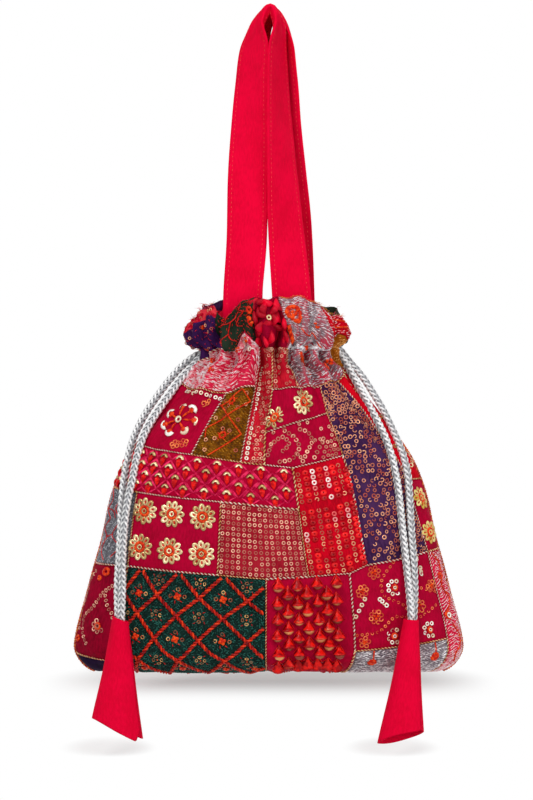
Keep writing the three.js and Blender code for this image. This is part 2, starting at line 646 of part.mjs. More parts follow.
const backRoute = [
  { at: [-17, -strapAtMouth, strapEnd], turn: 163 },
  { at: [-16.8, -strapAtMouth, rimLevel + 2], turn: 163 },
  { at: [-15, -19, -150], turn: 158 },
  { at: [-12.5, -15.5, -110], turn: 155 },
  { at: [-10, -12.7, -73], turn: 148 },
  { at: [-8.2, -11, -42], turn: 138 },
  { at: [-7, -9.4, -9], turn: 104 },
  { at: [0, -9, hookTop], turn: 90 },
  { at: [6.8, -9.4, -9], turn: 76 },
  { at: [7.4, -11, -42], turn: 42 },
  { at: [9.8, -12.7, -73], turn: 32 },
  { at: [12.4, -15, -104], turn: 25 },
  { at: [15.3, -18, -135], turn: 20 },
  { at: [17.3, -strapAtMouth, rimLevel + 2], turn: 17 },
  { at: [17.5, -strapAtMouth, strapEnd], turn: 17 },
];
add("front_handle", strapGeometry(frontRoute, 1), cloth(0xd60a3a, 0.65));
add("back_handle", strapGeometry(backRoute, -1), cloth(0xd60a3a, 0.65));

// The drawcords. Each is one length of cord: up from its tassel, in at its own side seam,
// once round the channel at the neck, out beside itself and down to the tassel again.
const ringHalfWidth = neck.halfWidth - channelInset;
const ringHalfDepth = neck.halfDepth - channelInset;
function channelTurn(towards, height) {
  const turn = [];
  for (let degrees = 32; degrees <= 328; degrees += 18.5) {
    const angle = THREE.MathUtils.degToRad(degrees);
    turn.push([towards * ringHalfWidth * Math.cos(angle), ringHalfDepth * Math.sin(angle), height]);
  }
  return turn;
}
const leftChannel = neckLevel - 1.5;
const rightChannel = leftChannel + channelSpacing;
const leftOuterRun = [
  [-36, 5.2, leftChannel],
  [-40.4, 3.1, leftChannel - 0.4],
  [-45.6, 2.7, leftChannel - 2],
  [-52, 1.6, -226.2],
  [-59.3, -0.6, -233],
  [-67, -3.2, -242.2],
  [-72.8, -5.2, -250.3],
  [-78.7, -7.2, -259],
  [-83.9, -9.2, -268.5],
  [-88.4, -11.4, -279.5],
  [-91.8, -14.2, -293.2],
  [-93.6, -17.1, -305],
  [-94.8, -19.6, -317],
  [-95.4, -22.7, -336],
  [-96.2, -24.4, -352],
  [-97.2, -26.2, -370.5],
  [-97, -28.4, -383],
  [-96.6, -30.4, -393],
  [-96.4, -30.9, -398.5],
];
const leftInnerRun = [
  [-36, -5.2, leftChannel],
  [-40.4, -3.1, leftChannel - 1],
  [-45, -3, leftChannel - 4.4],
  [-50.8, -4.4, -231.8],
  [-57.4, -6.8, -239],
  [-63.4, -9, -247.4],
  [-69.2, -11.2, -255.5],
  [-74.4, -13.4, -263.3],
  [-79.6, -16, -272.5],
  [-84, -19, -284.7],
  [-86.2, -21.2, -294],
  [-88, -23.1, -304],
  [-90.2, -24.7, -314],
  [-92.4, -26.8, -329],
  [-93.5, -28.5, -344],
  [-94, -29.8, -357],
  [-93.9, -31.2, -370.5],
  [-94.2, -33.6, -383],
  [-94.6, -35.6, -393],
  [-94.7, -36.1, -398.5],
];
const rightOuterRun = [
  [36, 5.2, rightChannel],
  [40.4, 2.9, rightChannel - 0.8],
  [45.4, 2.5, rightChannel - 4],
  [52.7, 1, -227.5],
  [60.5, -1.6, -236.6],
  [67.6, -4.4, -247.7],
  [74.1, -7.4, -258.7],
  [79.4, -10.2, -269.8],
  [84, -13.6, -280.5],
  [87.6, -17, -291.5],
  [89.6, -20, -302],
  [90.2, -22.2, -311],
  [90.8, -24.3, -323.7],
  [91.5, -25.8, -336.7],
  [92.4, -26.7, -349.7],
  [93.2, -27.4, -362.7],
  [93.4, -28.6, -375.7],
  [92.8, -30.8, -389],
  [92.4, -31.6, -399.5],
];
const rightInnerRun = [
  [36, -5.2, rightChannel],
  [40.6, -3.1, rightChannel - 1.8],
  [45, -3.4, rightChannel - 7.4],
  [50.8, -5.6, -230.2],
  [56.8, -9, -241.2],
  [62.6, -12.8, -252.2],
  [68.9, -17, -263.9],
  [74.8, -20.7, -276.3],
  [79, -23.4, -289],
  [81.6, -25.4, -301],
  [83.2, -26.7, -311],
  [84.5, -27.9, -323.7],
  [85.8, -28.9, -336.7],
  [87.2, -29.9, -349.7],
  [88.6, -31.1, -362.7],
  [89.9, -33, -375.7],
  [90.8, -35.8, -389],
  [90.9, -36.2, -399.5],
];
function cordGeometry(points) {
  const curve = new THREE.CatmullRomCurve3(
    points.map((p) => new THREE.Vector3(...p)),
    false,
    "centripetal",
  );
  const section = new THREE.Shape();
  for (let k = 0; k < cordSides; k++) {
    const angle = ((k + 0.5) / cordSides) * 4 * quarterTurn;
    const [x, y] = [(cordDiameter / 2) * Math.cos(angle), (cordDiameter / 2) * Math.sin(angle)];
    if (k === 0) section.moveTo(x, y);
    else section.lineTo(x, y);
  }
  section.closePath();
  const settings = { steps: cordSteps, extrudePath: curve, bevelEnabled: false, curveSegments: 1 };
  return new THREE.ExtrudeGeometry(section, settings);
}
const drawcord = (outerRun, innerRun, turn) => [...outerRun.toReversed(), ...turn, ...innerRun];
const braid = new THREE.MeshStandardMaterial({ color: 0xa9a6ad, roughness: 0.45, metalness: 0.55 });
const leftTurn = channelTurn(-1, leftChannel);
const rightTurn = channelTurn(1, rightChannel);
add("left_drawcord", cordGeometry(drawcord(leftOuterRun, leftInnerRun, leftTurn)), braid);
add("right_drawcord", cordGeometry(drawcord(rightOuterRun, rightInnerRun, rightTurn)), braid.clone());

// A tassel: a quarter of cloth rolled round on itself, so that its outer edge laps over. Its
// foot is cut on a slant. top and foot are the ends of its middle line.
const tasselColumns = 22;
const tasselRows = 4;
function tasselGeometry(top, foot, slant, lapStart) {
  const sweep = 360 + tasselOverlapDegrees;
  const lap = (tasselCloth + cordGap) / 360;
  const point = (i, j, depth) => {
    const down = i / tasselRows;
    const degrees = (j / tasselColumns) * sweep;
    const angle = THREE.MathUtils.degToRad(lapStart + degrees);
    const grow = lap * degrees - depth;
    const halfWidth = mix(tasselTop.halfWidth, tasselFoot.halfWidth, down) + grow;
    const halfDepth = mix(tasselTop.halfDepth, tasselFoot.halfDepth, down) + grow;
    const across = Math.cos(angle);
    return new THREE.Vector3(
      mix(top[0], foot[0], down) + halfWidth * across,
      mix(top[1], foot[1], down) + halfDepth * Math.sin(angle),
      mix(top[2], foot[2], down) - slant * across * down,
    );
  };
  const face = (depth) =>
    Array.from({ length: tasselRows + 1 }, (_, i) =>
      Array.from({ length: tasselColumns + 1 }, (_, j) => point(tasselRows - i, j, depth)),
    );
  return slab(face(0), face(tasselCloth));
}
const tasselCrimson = 0xb80838;
add("left_tassel", tasselGeometry([-95.5, -33.2, -393], [-96.2, -36.5, -467.5], 7.5, 250), cloth(tasselCrimson));
add("right_tassel", tasselGeometry([91.7, -34, -394.6], [85.4, -37, -473], -3, 245), cloth(tasselCrimson));

export default bag;
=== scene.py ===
import math

import bpy
import numpy as np
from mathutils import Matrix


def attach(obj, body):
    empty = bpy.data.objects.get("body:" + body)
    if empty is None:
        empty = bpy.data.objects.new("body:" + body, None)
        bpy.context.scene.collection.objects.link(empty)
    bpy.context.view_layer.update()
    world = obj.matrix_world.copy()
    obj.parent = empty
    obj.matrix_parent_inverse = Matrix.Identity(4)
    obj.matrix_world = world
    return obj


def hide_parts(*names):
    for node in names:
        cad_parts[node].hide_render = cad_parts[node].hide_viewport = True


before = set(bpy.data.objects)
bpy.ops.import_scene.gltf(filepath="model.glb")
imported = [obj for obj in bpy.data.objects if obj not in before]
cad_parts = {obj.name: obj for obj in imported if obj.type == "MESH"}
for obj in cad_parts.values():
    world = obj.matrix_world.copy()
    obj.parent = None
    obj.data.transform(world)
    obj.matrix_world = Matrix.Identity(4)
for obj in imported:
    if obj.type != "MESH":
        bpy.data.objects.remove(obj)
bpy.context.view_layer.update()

MM = 0.001

# The camera looks straight at the front from about two metres, at the middle of a frame
# 520 mm tall.
FRAME_TALL = 0.520
CAMERA_FAR = 2.2
FRAME_MIDDLE = (-0.0016, -0.2522)
camera_data = bpy.data.cameras.new("camera")
camera_data.sensor_fit = "VERTICAL"
camera_data.sensor_height = 24
camera_data.lens = 24 * CAMERA_FAR / FRAME_TALL
camera = bpy.data.objects.new("camera", camera_data)
camera.location = (FRAME_MIDDLE[0], -CAMERA_FAR, FRAME_MIDDLE[1])
camera.rotation_euler = (math.pi / 2, 0, 0)
bpy.context.scene.collection.objects.link(camera)
bpy.context.scene.camera = camera


class Value:
    """A shader socket that takes part in arithmetic. Each operation adds one Math node."""

    def __init__(self, material, socket):
        self.material, self.socket = material, socket

    def math(self, operation, *others):
        sockets = dict(enumerate([self, *others]))
        return self.material.node("ShaderNodeMath", {"operation": operation}, sockets)

    def __add__(self, other):
        return self.math("ADD", other)

    def __sub__(self, other):
        return self.math("SUBTRACT", other)

    def __rsub__(self, other):
        return self.material.node("ShaderNodeMath", {"operation": "SUBTRACT"}, {0: other, 1: self})

    def __mul__(self, other):
        return self.math("MULTIPLY", other)

    def __truediv__(self, other):
        return self.math("DIVIDE", other)

    def __pow__(self, other):
        return self.math("POWER", other)

    def __gt__(self, other):
        return self.math("GREATER_THAN", other)

    def __lt__(self, other):
        return self.math("LESS_THAN", other)

    __radd__ = __add__
    __rmul__ = __mul__

    def sin(self):
        return self.math("SINE")

    def abs(self):
        return self.math("ABSOLUTE")

    def low(self, other):
        return self.math("MINIMUM", other)

    def high(self, other):
        return self.math("MAXIMUM", other)

    def fraction(self):
        return self.math("FRACT")

    def floor(self):
        return self.math("FLOOR")

    def between(self, start, end):
        """0 below start, 1 above end, and a smooth rise from one to the other."""
        settings = {"interpolation_type": "SMOOTHSTEP"}
        sockets = {"Value": self, "From Min": start, "From Max": end}
        return self.material.node("ShaderNodeMapRange", settings, sockets)


class Finish:
    """A material that is made of nodes. node() adds one, with its settings and then the
    values or links of its sockets, and gives back its first or named output."""

    def __init__(self, name, roughness=0.8, metallic=0.0, **shader):
        self.material = bpy.data.materials.new(name)
        self.material.use_nodes = True
        self.tree = self.material.node_tree
        self.shader = self.tree.nodes["Principled BSDF"]
        self.set(roughness=roughness, metallic=metallic, **shader)

    def node(self, kind, settings=None, sockets=None, output=0):
        node = self.tree.nodes.new(kind)
        for name, setting in (settings or {}).items():
            if name == "stops":
                ramp = node.color_ramp
                while len(ramp.elements) > 1:
                    ramp.elements.remove(ramp.elements[-1])
                ramp.elements[0].position = setting[0][0]
                ramp.elements[0].color = (*setting[0][1], 1)
                for place, colour in setting[1:]:
                    ramp.elements.new(place).color = (*colour, 1)
            else:
                setattr(node, name, setting)
        for name, value in (sockets or {}).items():
            if isinstance(value, Value):
                self.tree.links.new(value.socket, node.inputs[name])
            else:
                node.inputs[name].default_value = value
        return Value(self, node.outputs[output])

    def set(self, **values):
        """Sets the shader's own sockets: base_color stands for Base Color, and so on."""
        for name, value in values.items():
            socket = self.shader.inputs[name.replace("_", " ").title().replace("Ior", "IOR")]
            if isinstance(value, Value):
                self.tree.links.new(value.socket, socket)
            elif hasattr(value, "__len__") and len(value) == 3 and socket.type == "RGBA":
                socket.default_value = (*value, 1)
            else:
                socket.default_value = value

    def mix(self, share, a, b):
        """Colour a where share is 0, b where it is 1."""
        settings = {"data_type": "RGBA"}
        colours = {6: (*a, 1) if isinstance(a, tuple) else a, 7: (*b, 1) if isinstance(b, tuple) else b}
        return self.node("ShaderNodeMix", settings, {0: share, **colours}, output=2)

    def noise(self, scale, detail=2.0, where=None, rough=0.5, output=0):
        sockets = {"Vector": where or self.place(), "Scale": scale, "Detail": detail, "Roughness": rough}
        return self.node("ShaderNodeTexNoise", None, sockets, output)

    def place(self):
        return self.node("ShaderNodeTexCoord", output="Object")

    def along(self, name="laid"):
        """Where a point lies on its own cloth, in millimetres: (across, along)."""
        return self.node("ShaderNodeUVMap", {"uv_map": name})

    def parts(self, vector):
        node = self.tree.nodes.new("ShaderNodeSeparateXYZ")
        self.tree.links.new(vector.socket, node.inputs[0])
        return [Value(self, output) for output in node.outputs]

    def bump(self, height, distance, strength=1.0):
        sockets = {"Height": height, "Distance": distance, "Strength": strength}
        self.set(normal=self.node("ShaderNodeBump", None, sockets))


def solid(name, points, faces, finish, laid=None, smooth=True):
    """A mesh object from points in metres and lists of corner indices, with its finish and,
    where laid gives one (across, along) pair for each point, a UV map in millimetres."""
    mesh = bpy.data.meshes.new(name)
    quads = np.asarray(faces, dtype=np.int32)
    sides = quads.shape[1]
    mesh.vertices.add(len(points))
    mesh.vertices.foreach_set("co", np.asarray(points, dtype=np.float32).ravel())
    mesh.loops.add(quads.size)
    mesh.loops.foreach_set("vertex_index", quads.ravel())
    mesh.polygons.add(len(quads))
    mesh.polygons.foreach_set("loop_start", np.arange(0, quads.size, sides, dtype=np.int32))
    mesh.polygons.foreach_set("use_smooth", np.full(len(quads), smooth))
    if laid is not None:
        uv = mesh.uv_layers.new(name="laid")
        uv.data.foreach_set("uv", np.asarray(laid, dtype=np.float32)[quads.ravel()].ravel())
    mesh.update()
    mesh.validate()
    mesh.materials.append(finish.material)
    piece = bpy.data.objects.new(name, mesh)
    bpy.context.scene.collection.objects.link(piece)
    return piece


def grid_faces(rows, columns, across=False, start=0):
    """The quads of a grid of points stored row by row, joined round in a ring if across."""
    i, j = np.meshgrid(np.arange(rows - 1), np.arange(columns if across else columns - 1), indexing="ij")
    beside = (j + 1) % columns
    quads = [i * columns + j, i * columns + beside, (i + 1) * columns + beside, (i + 1) * columns + j]
    return np.stack(quads, -1).reshape(-1, 4) + start


def tube_faces(rings, sides, start=0):
    """The quads of a tube of rings of corners, with both ends closed. Sides is even."""
    i = np.arange(sides // 2 - 1)
    end = np.stack([i, sides - 1 - i, sides - 2 - i, i + 1], -1)
    far = end[:, ::-1] + (rings - 1) * sides
    return np.concatenate([grid_faces(rings, sides, across=True), end, far]) + start


def curve_through(points, count):
    """Count places at even steps on the centripetal Catmull-Rom curve through points. Numbers
    after a point's x, y and z are carried along the curve in the same way."""
    points = np.asarray(points, dtype=float)
    ends = np.vstack([2 * points[0] - points[1], points, 2 * points[-1] - points[-2]])
    knots = np.concatenate([[0], np.cumsum(np.linalg.norm(np.diff(ends[:, :3], axis=0), axis=1) ** 0.5)])
    fine = np.linspace(knots[1], knots[-2], 40 * len(points))
    k = np.clip(np.searchsorted(knots, fine, side="right") - 1, 1, len(ends) - 3)
    p, t = [ends[k + n] for n in (-1, 0, 1, 2)], [knots[k + n] for n in (-1, 0, 1, 2)]

    def blend(a, b, ta, tb):
        return a * ((tb - fine) / (tb - ta))[:, None] + b * ((fine - ta) / (tb - ta))[:, None]

    a = [blend(p[n], p[n + 1], t[n], t[n + 1]) for n in range(3)]
    b = [blend(a[0], a[1], t[0], t[2]), blend(a[1], a[2], t[1], t[3])]
    path = blend(b[0], b[1], t[1], t[2])
    run = np.concatenate([[0], np.cumsum(np.linalg.norm(np.diff(path[:, :3], axis=0), axis=1))])
    even = np.linspace(0, run[-1], count)
    return np.stack([np.interp(even, run, column) for column in path.T], -1)


def carried_frames(path):
    """Tangent, and two directions square to it that turn as little as they can along path."""
    tangent = np.gradient(path, axis=0)
    tangent /= np.linalg.norm(tangent, axis=1)[:, None]
    first = np.cross(tangent[0], [0.3, 1, 0.2])
    sides = [first / np.linalg.norm(first)]
    for t in tangent[1:]:
        side = sides[-1] - t * np.dot(sides[-1], t)
        sides.append(side / np.linalg.norm(side))
    side = np.array(sides)
    return tangent, side, np.cross(tangent, side)


# The drawcords: each is one length of 5 mm silver-grey cord, braided from eight strands, that
# leaves its tassel, goes in at its own side seam, once round the neck in the channel, out
# beside itself and down to the tassel again.
NECK_LEVEL = -219
CHANNEL_HALF_WIDTH, CHANNEL_HALF_DEPTH = 35.7, 18.7
left_channel = NECK_LEVEL - 1.5
right_channel = left_channel + 5.8
left_outer_run = [
    (-36, 5.2, left_channel), (-40.4, 3.1, left_channel - 0.4), (-45.6, 2.7, left_channel - 2),
    (-52, 1.6, -226.2), (-59.3, -0.6, -233), (-67, -3.2, -242.2), (-72.8, -5.2, -250.3),
    (-78.7, -7.2, -259), (-83.9, -9.2, -268.5), (-88.4, -11.4, -279.5), (-91.8, -14.2, -293.2),
    (-93.6, -17.1, -305), (-94.8, -19.6, -317), (-95.4, -22.7, -336), (-96.2, -24.4, -352),
    (-97.2, -26.2, -370.5), (-97, -28.4, -383), (-96.6, -30.4, -393), (-96.4, -30.9, -398.5),
]
left_inner_run = [
    (-36, -5.2, left_channel), (-40.4, -3.1, left_channel - 1), (-45, -3, left_channel - 4.4),
    (-50.8, -4.4, -231.8), (-57.4, -6.8, -239), (-63.4, -9, -247.4), (-69.2, -11.2, -255.5),
    (-74.4, -13.4, -263.3), (-79.6, -16, -272.5), (-84, -19, -284.7), (-86.2, -21.2, -294),
    (-88, -23.1, -304), (-90.2, -24.7, -314), (-92.4, -26.8, -329), (-93.5, -28.5, -344),
    (-94, -29.8, -357), (-93.9, -31.2, -370.5), (-94.2, -33.6, -383), (-94.6, -35.6, -393),
    (-94.7, -36.1, -398.5),
]
right_outer_run = [
    (36, 5.2, right_channel), (40.4, 2.9, right_channel - 0.8), (45.4, 2.5, right_channel - 4),
    (52.7, 1, -227.5), (60.5, -1.6, -236.6), (67.6, -4.4, -247.7), (74.1, -7.4, -258.7),
    (79.4, -10.2, -269.8), (84, -13.6, -280.5), (87.6, -17, -291.5), (89.6, -20, -302),
    (90.2, -22.2, -311), (90.8, -24.3, -323.7), (91.5, -25.8, -336.7), (92.4, -26.7, -349.7),
    (93.2, -27.4, -362.7), (93.4, -28.6, -375.7), (92.8, -30.8, -389), (92.4, -31.6, -399.5),
]
right_inner_run = [
    (36, -5.2, right_channel), (40.6, -3.1, right_channel - 1.8), (45, -3.4, right_channel - 7.4),
    (50.8, -5.6, -230.2), (56.8, -9, -241.2), (62.6, -12.8, -252.2), (68.9, -17, -263.9),
    (74.8, -20.7, -276.3), (79, -23.4, -289), (81.6, -25.4, -301), (83.2, -26.7, -311),
    (84.5, -27.9, -323.7), (85.8, -28.9, -336.7), (87.2, -29.9, -349.7), (88.6, -31.1, -362.7),
    (89.9, -33, -375.7), (90.8, -35.8, -389), (90.9, -36.2, -399.5),
]


def channel_turn(towards, level):
    """The cord's turn round the neck: most of an ellipse, from one end of it to the other."""
    angles = np.radians(np.arange(32, 328.1, 18.5))
    x, y = towards * CHANNEL_HALF_WIDTH * np.cos(angles), CHANNEL_HALF_DEPTH * np.sin(angles)
    return np.stack([x, y, np.full(len(x), level)], -1)


silver_braid = Finish("silver_braid", roughness=0.38, metallic=0.12)
# The braid's colour follows the second UV number, each strand's height on the braid: dark grey where a strand dips into
# a crevice or under its neighbours, near white on its crest. This is painted shade and painted highlight, and the plain
# core is painted in the darkest shade.
strand_height_for_painted_shade = silver_braid.parts(silver_braid.along())[1]
tone = silver_braid.noise(420.0, 2.0).between(0.35, 0.65)
silver_braid.set(base_color=silver_braid.mix(strand_height_for_painted_shade.between(-0.1, 1.0) * (tone * 0.3 + 0.7), (0.34, 0.34, 0.36), (1.0, 1.0, 1.0)))
silver_braid.bump(silver_braid.noise(1500.0, 2.0), 0.0002, 0.5)


def braided_cord(name, points, plait=15.0, strands=8):
    """Half the strands wind one way and half the other round the path. Each rides in and out
    as it passes over two and under two, and is a flat oval of three fine yarns."""
    core = curve_through(np.asarray(points) * MM, 40)
    length = np.linalg.norm(np.diff(core, axis=0), axis=1).sum()
    steps = int(length / (0.75 * MM))
    path = curve_through(np.asarray(points) * MM, steps)
    tangent, side, up = carried_frames(path)
    run = np.linspace(0, length / MM, steps)
    points_out, faces_out, laid_out = [], [], []
    around = np.linspace(0, 2 * np.pi, 7)[:-1]
    count = 0
    for k in range(strands):
        way = 1 if k % 2 else -1
        turn = way * 2 * np.pi * run / plait + 2 * np.pi * (k // 2) / (strands / 2)
        weave = np.cos(2 * turn * way - np.pi / 4 + (0 if way > 0 else np.pi))
        far = 1.62 + 0.42 * weave
        out = np.cos(turn)[:, None] * side + np.sin(turn)[:, None] * up
        centre = path + out * far[:, None] * MM
        forward = np.gradient(centre, axis=0)
        forward /= np.linalg.norm(forward, axis=1)[:, None]
        flat = np.cross(out, forward)
        ring = (
            centre[:, None]
            + flat[:, None] * (np.cos(around) * 0.92 * MM)[None, :, None]
            + out[:, None] * (np.sin(around) * 0.55 * MM)[None, :, None]
        )
        points_out.append(ring.reshape(-1, 3))
        faces_out.append(tube_faces(steps, 6, start=count))
        # The second UV number is the strand's height, raised where it rides over and lowered where it dips under; the
        # braid's finish paints shade and highlight from it.
        laid_out.append(np.stack([run[:, None] + 0 * around, np.sin(around) + weave[:, None] * 0.6 - 0.3], -1).reshape(-1, 2))
        count += steps * 6
    # A plain core fills the braid, so that no light shows through it.
    around = np.linspace(0, 2 * np.pi, 9)[:-1]
    ring = path[:, None] + 1.3 * MM * (
        side[:, None] * np.cos(around)[None, :, None] + up[:, None] * np.sin(around)[None, :, None]
    )
    points_out.append(ring.reshape(-1, 3))
    faces_out.append(tube_faces(steps, 8, start=count))
    # The core's UV height of -1 paints it in the braid's darkest shade.
    laid_out.append(np.stack([run[:, None] + 0 * around, 0 * run[:, None] - 1 + 0 * around], -1).reshape(-1, 2))
    cord = solid(name, np.concatenate(points_out), np.concatenate(faces_out), silver_braid, np.concatenate(laid_out))
    return cord, path, length


drawcords = {}
for hand, outer, inner, turn in (
    ("left", left_outer_run, left_inner_run, channel_turn(-1, left_channel)),
    ("right", right_outer_run, right_inner_run, channel_turn(1, right_channel)),
):
    route = np.vstack([outer[::-1], turn, inner])
    drawcords[hand] = braided_cord(f"{hand}_braided_cord", route)
    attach(drawcords[hand][0], "root")
    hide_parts(f"{hand}_drawcord")

# The bag's shape. The cloth lies on an oval outline that changes with height, gathered into
# pleats where the cords draw it in, with a ruffle above them and long folds below.
BODY_TALL, HEADING_TALL = 209, 33
RIM_LEVEL = NECK_LEVEL + HEADING_TALL
BASE_LEVEL = NECK_LEVEL - BODY_TALL
BASE_EDGE, BASE_FOLD, CORNER = 14, 40, 17
CLOTH_LENGTH = BASE_FOLD + BODY_TALL - BASE_EDGE
station_height = np.array([0, 20, 72, 132, 165, 194, 209, 222, 242.0])
station_width = np.array([125, 125, 111.5, 95, 72.5, 47.5, 43, 50, 46])
station_depth = np.array([37, 37, 42, 40, 34, 28.5, 26, 32, 33])
EXIT_HALF_WIDTH, EXIT_HALF_HEIGHT, EXIT_DROP = 6.5, 11.5, 4
PLEATS, PLEAT_DEEP, RUFFLES, RUFFLE_DEEP = 22, 3.2, 9, 4.6
# Each long fold: its place across the panel, how far it drifts on its way down, its depth, its
# width as a share, and its length below the neck.
front_folds = [
    (-0.7, -0.03, 5.5, 0.06, 55), (-0.37, 0.02, 7.5, 0.045, 50), (-0.07, 0.03, 9, 0.04, 115),
    (0.215, 0.03, 7.5, 0.035, 60), (0.40, -0.07, 9.5, 0.05, 95), (0.62, -0.08, 6.5, 0.05, 60),
    (0.84, -0.03, 3.5, 0.05, 60),
]
back_folds = [(-0.66, 0, 4, 0.07, 70), (-0.2, 0.03, 6, 0.07, 90), (0.24, 0, 4.5, 0.06, 65), (0.62, -0.03, 5.5, 0.07, 80)]
# The heading of the front rolls outwards in lips, (place, width, millimetres), with sharp tucks
# between them. How far its rim hangs below its highest level: (place across, millimetres).
front_lips = [(-0.8, 0.12, 1.5), (-0.335, 0.085, 6), (0.0, 0.06, 2), (0.26, 0.06, 2.5), (0.52, 0.11, 6)]
front_tucks = [(-0.66, 0.03, 3), (-0.45, 0.035, 6.5), (-0.385, 0.016, 2.6), (-0.29, 0.018, 3), (-0.215, 0.03, 4), (-0.11, 0.025, 3), (0.085, 0.025, 3.5), (0.2, 0.025, 3.5),
               (0.355, 0.035, 5), (0.665, 0.035, 6), (0.93, 0.03, 3)]
front_rim_dip = [(-1, 18), (-0.85, 13), (-0.72, 7.5), (-0.6, 4.5), (-0.54, 6), (-0.46, 15), (-0.4, 12.5), (-0.33, 11.5), (-0.29, 6),
                 (-0.25, 2), (-0.2, 0.8), (0, 1.2), (0.15, 0), (0.35, 0.8), (0.44, 3.5), (0.55, 8), (0.66, 11), (0.74, 10.5), (0.85, 15.5), (1, 19)]
back_rim_dip = [(-1, 19), (-0.8, 10), (-0.6, 5), (-0.4, 1), (0.2, 0), (0.45, 1), (0.7, 6), (1, 18)]


def smooth(x):
    """0 below 0, 1 above 1, and 3x^2 - 2x^3 between."""
    x = np.clip(x, 0, 1)
    return x * x * (3 - 2 * x)


def outline(height, sizes):
    """A cubic Hermite curve through the stations, sloped at each by its two neighbours."""
    slopes = np.gradient(sizes, station_height)
    slopes[1:-1] = (sizes[2:] - sizes[:-2]) / (station_height[2:] - station_height[:-2])
    i = np.clip(np.searchsorted(station_height, height, side="right") - 1, 0, len(sizes) - 2)
    span = station_height[i + 1] - station_height[i]
    t = np.clip((height - station_height[i]) / span, 0, 1)
    ends = sizes[i] * (2 * t**3 - 3 * t * t + 1) + sizes[i + 1] * (3 * t * t - 2 * t**3)
    return ends + span * (slopes[i] * (t**3 - 2 * t * t + t) + slopes[i + 1] * (t**3 - t * t))


def level_of(up):
    """Height over the base and how far the cloth has turned from flat to upright, for "up",
    which runs from 0 at the base seam through 1 at the neck to 2 at the rim."""
    up = np.asarray(up, dtype=float)
    run = up * CLOTH_LENGTH
    angle = np.clip(run / BASE_FOLD, 0, 1) * np.pi / 2
    folded = BASE_EDGE * (1 - np.cos(angle))
    height = np.where(run < BASE_FOLD, folded, run - BASE_FOLD + BASE_EDGE)
    return np.where(up > 1, BODY_TALL + (up - 1) * HEADING_TALL, height), np.sin(angle)


def smooth_bag(side, across, up, inset=0.0):
    """The oval outline: x = width sin(angle), y = depth cos(angle), drawn in by inset."""
    height, turn = level_of(up)
    from_exit = np.abs(height - BODY_TALL + EXIT_DROP)
    slot = EXIT_HALF_WIDTH * smooth(1.6 - 1.6 * from_exit / EXIT_HALF_HEIGHT) / station_depth[6]
    angle = across * (np.pi / 2 - np.where(inset == 0, slot, 0))
    drop = 1 - np.minimum(height, CORNER) / CORNER
    corner = CORNER * (1 - np.sqrt(np.maximum(0, 1 - drop * drop)))
    width = outline(height, station_width) - corner - inset
    depth = (outline(height, station_depth) - inset) * turn
    x = width * np.sin(angle) * (1 if side < 0 else -1)
    return np.stack([x, side * depth * np.cos(angle), BASE_LEVEL + height], -1)


def outward(side, across, up):
    """The direction that points out of the smooth bag, from small steps on it."""
    step = 0.004
    a, u = np.clip(across, -0.98, 0.98), np.maximum(up, 0.012)
    over = smooth_bag(side, a + step, u) - smooth_bag(side, a - step, u)
    rise = smooth_bag(side, a, u + step) - smooth_bag(side, a, u - step)
    out = np.cross(over, rise)
    out[..., 1] = np.where((np.abs(across) > 0.999) | (up < 0.001), 0, out[..., 1])
    return out / np.linalg.norm(out, axis=-1)[..., None]


def gathers(side, across, over_neck):
    """The pleats: waves round the bag that wander, |cos|-shaped, so that round ridges meet in
    sharp valleys, deepest at the cords. A wider ruffle stands over them, and finer waves ride on
    both."""
    round_ = 2 * np.pi * (across / 4 + (0 if side < 0 else 0.5))
    below, above = np.minimum(over_neck, 0), np.maximum(over_neck, 0)
    wander = 0.5 * np.sin(2 * round_ + 0.6) + 0.4 * np.sin(3 * round_)
    pleat = PLEAT_DEEP * np.exp(below / 26 - above / 16)
    ruffle = RUFFLE_DEEP * smooth(above / (0.6 * HEADING_TALL))
    crown = 2.5 + 0.7 * np.clip(1 - 1.5 * across * across, 0, 1)
    ripple = crown * np.abs(np.cos((PLEATS * round_ + wander) / 2)) ** 0.8 - 0.95
    wave = np.cos(RUFFLES * round_ + 1.9 * wander + 0.8)
    fine = np.cos(2 * PLEATS * round_ + 5 * wander + 0.04 * over_neck + 1.3)
    small = 0.9 * np.exp(below / 13 - above / 9) * fine + 0.7 * smooth(above / 14) * np.cos(31 * round_ + 3 * wander)
    if side < 0:
        share = above / HEADING_TALL
        roll = sum(size * np.exp(-(((across - place) / width) ** 2)) for place, width, size in front_lips)
        tuck = sum(size * np.exp(-np.abs((across - place) / width) ** 1.6) for place, width, size in front_tucks)
        small = small + 0.65 * roll * np.exp(-(((share - 0.42) / 0.26) ** 2))
        small = small - tuck * smooth(share / 0.16) * (1 - 0.55 * smooth((share - 0.45) / 0.4))
        wave = 0.5 * wave
    return pleat * ripple + ruffle * (0.35 + 0.65 * wave) + small


def fold_deep(side, across, over_neck):
    """The long folds: bell-shaped valleys that start under the neck and fade as they widen."""
    deep = 0
    for place, drift, depth, width, length in front_folds if side < 0 else back_folds:
        fade = smooth(-over_neck / 10) * smooth(1 + over_neck / length)
        spread = width * (1 + np.maximum(-over_neck, 0) / 70)
        off = (across - place + drift * over_neck / length) / spread
        # Beside each valley the cloth it takes up stands as two low ridges.
        deep = deep + depth * fade * (np.exp(-np.abs(off) ** 1.6) - 0.28 * np.exp(-((np.abs(off) - 2.1) ** 2)))
    return deep


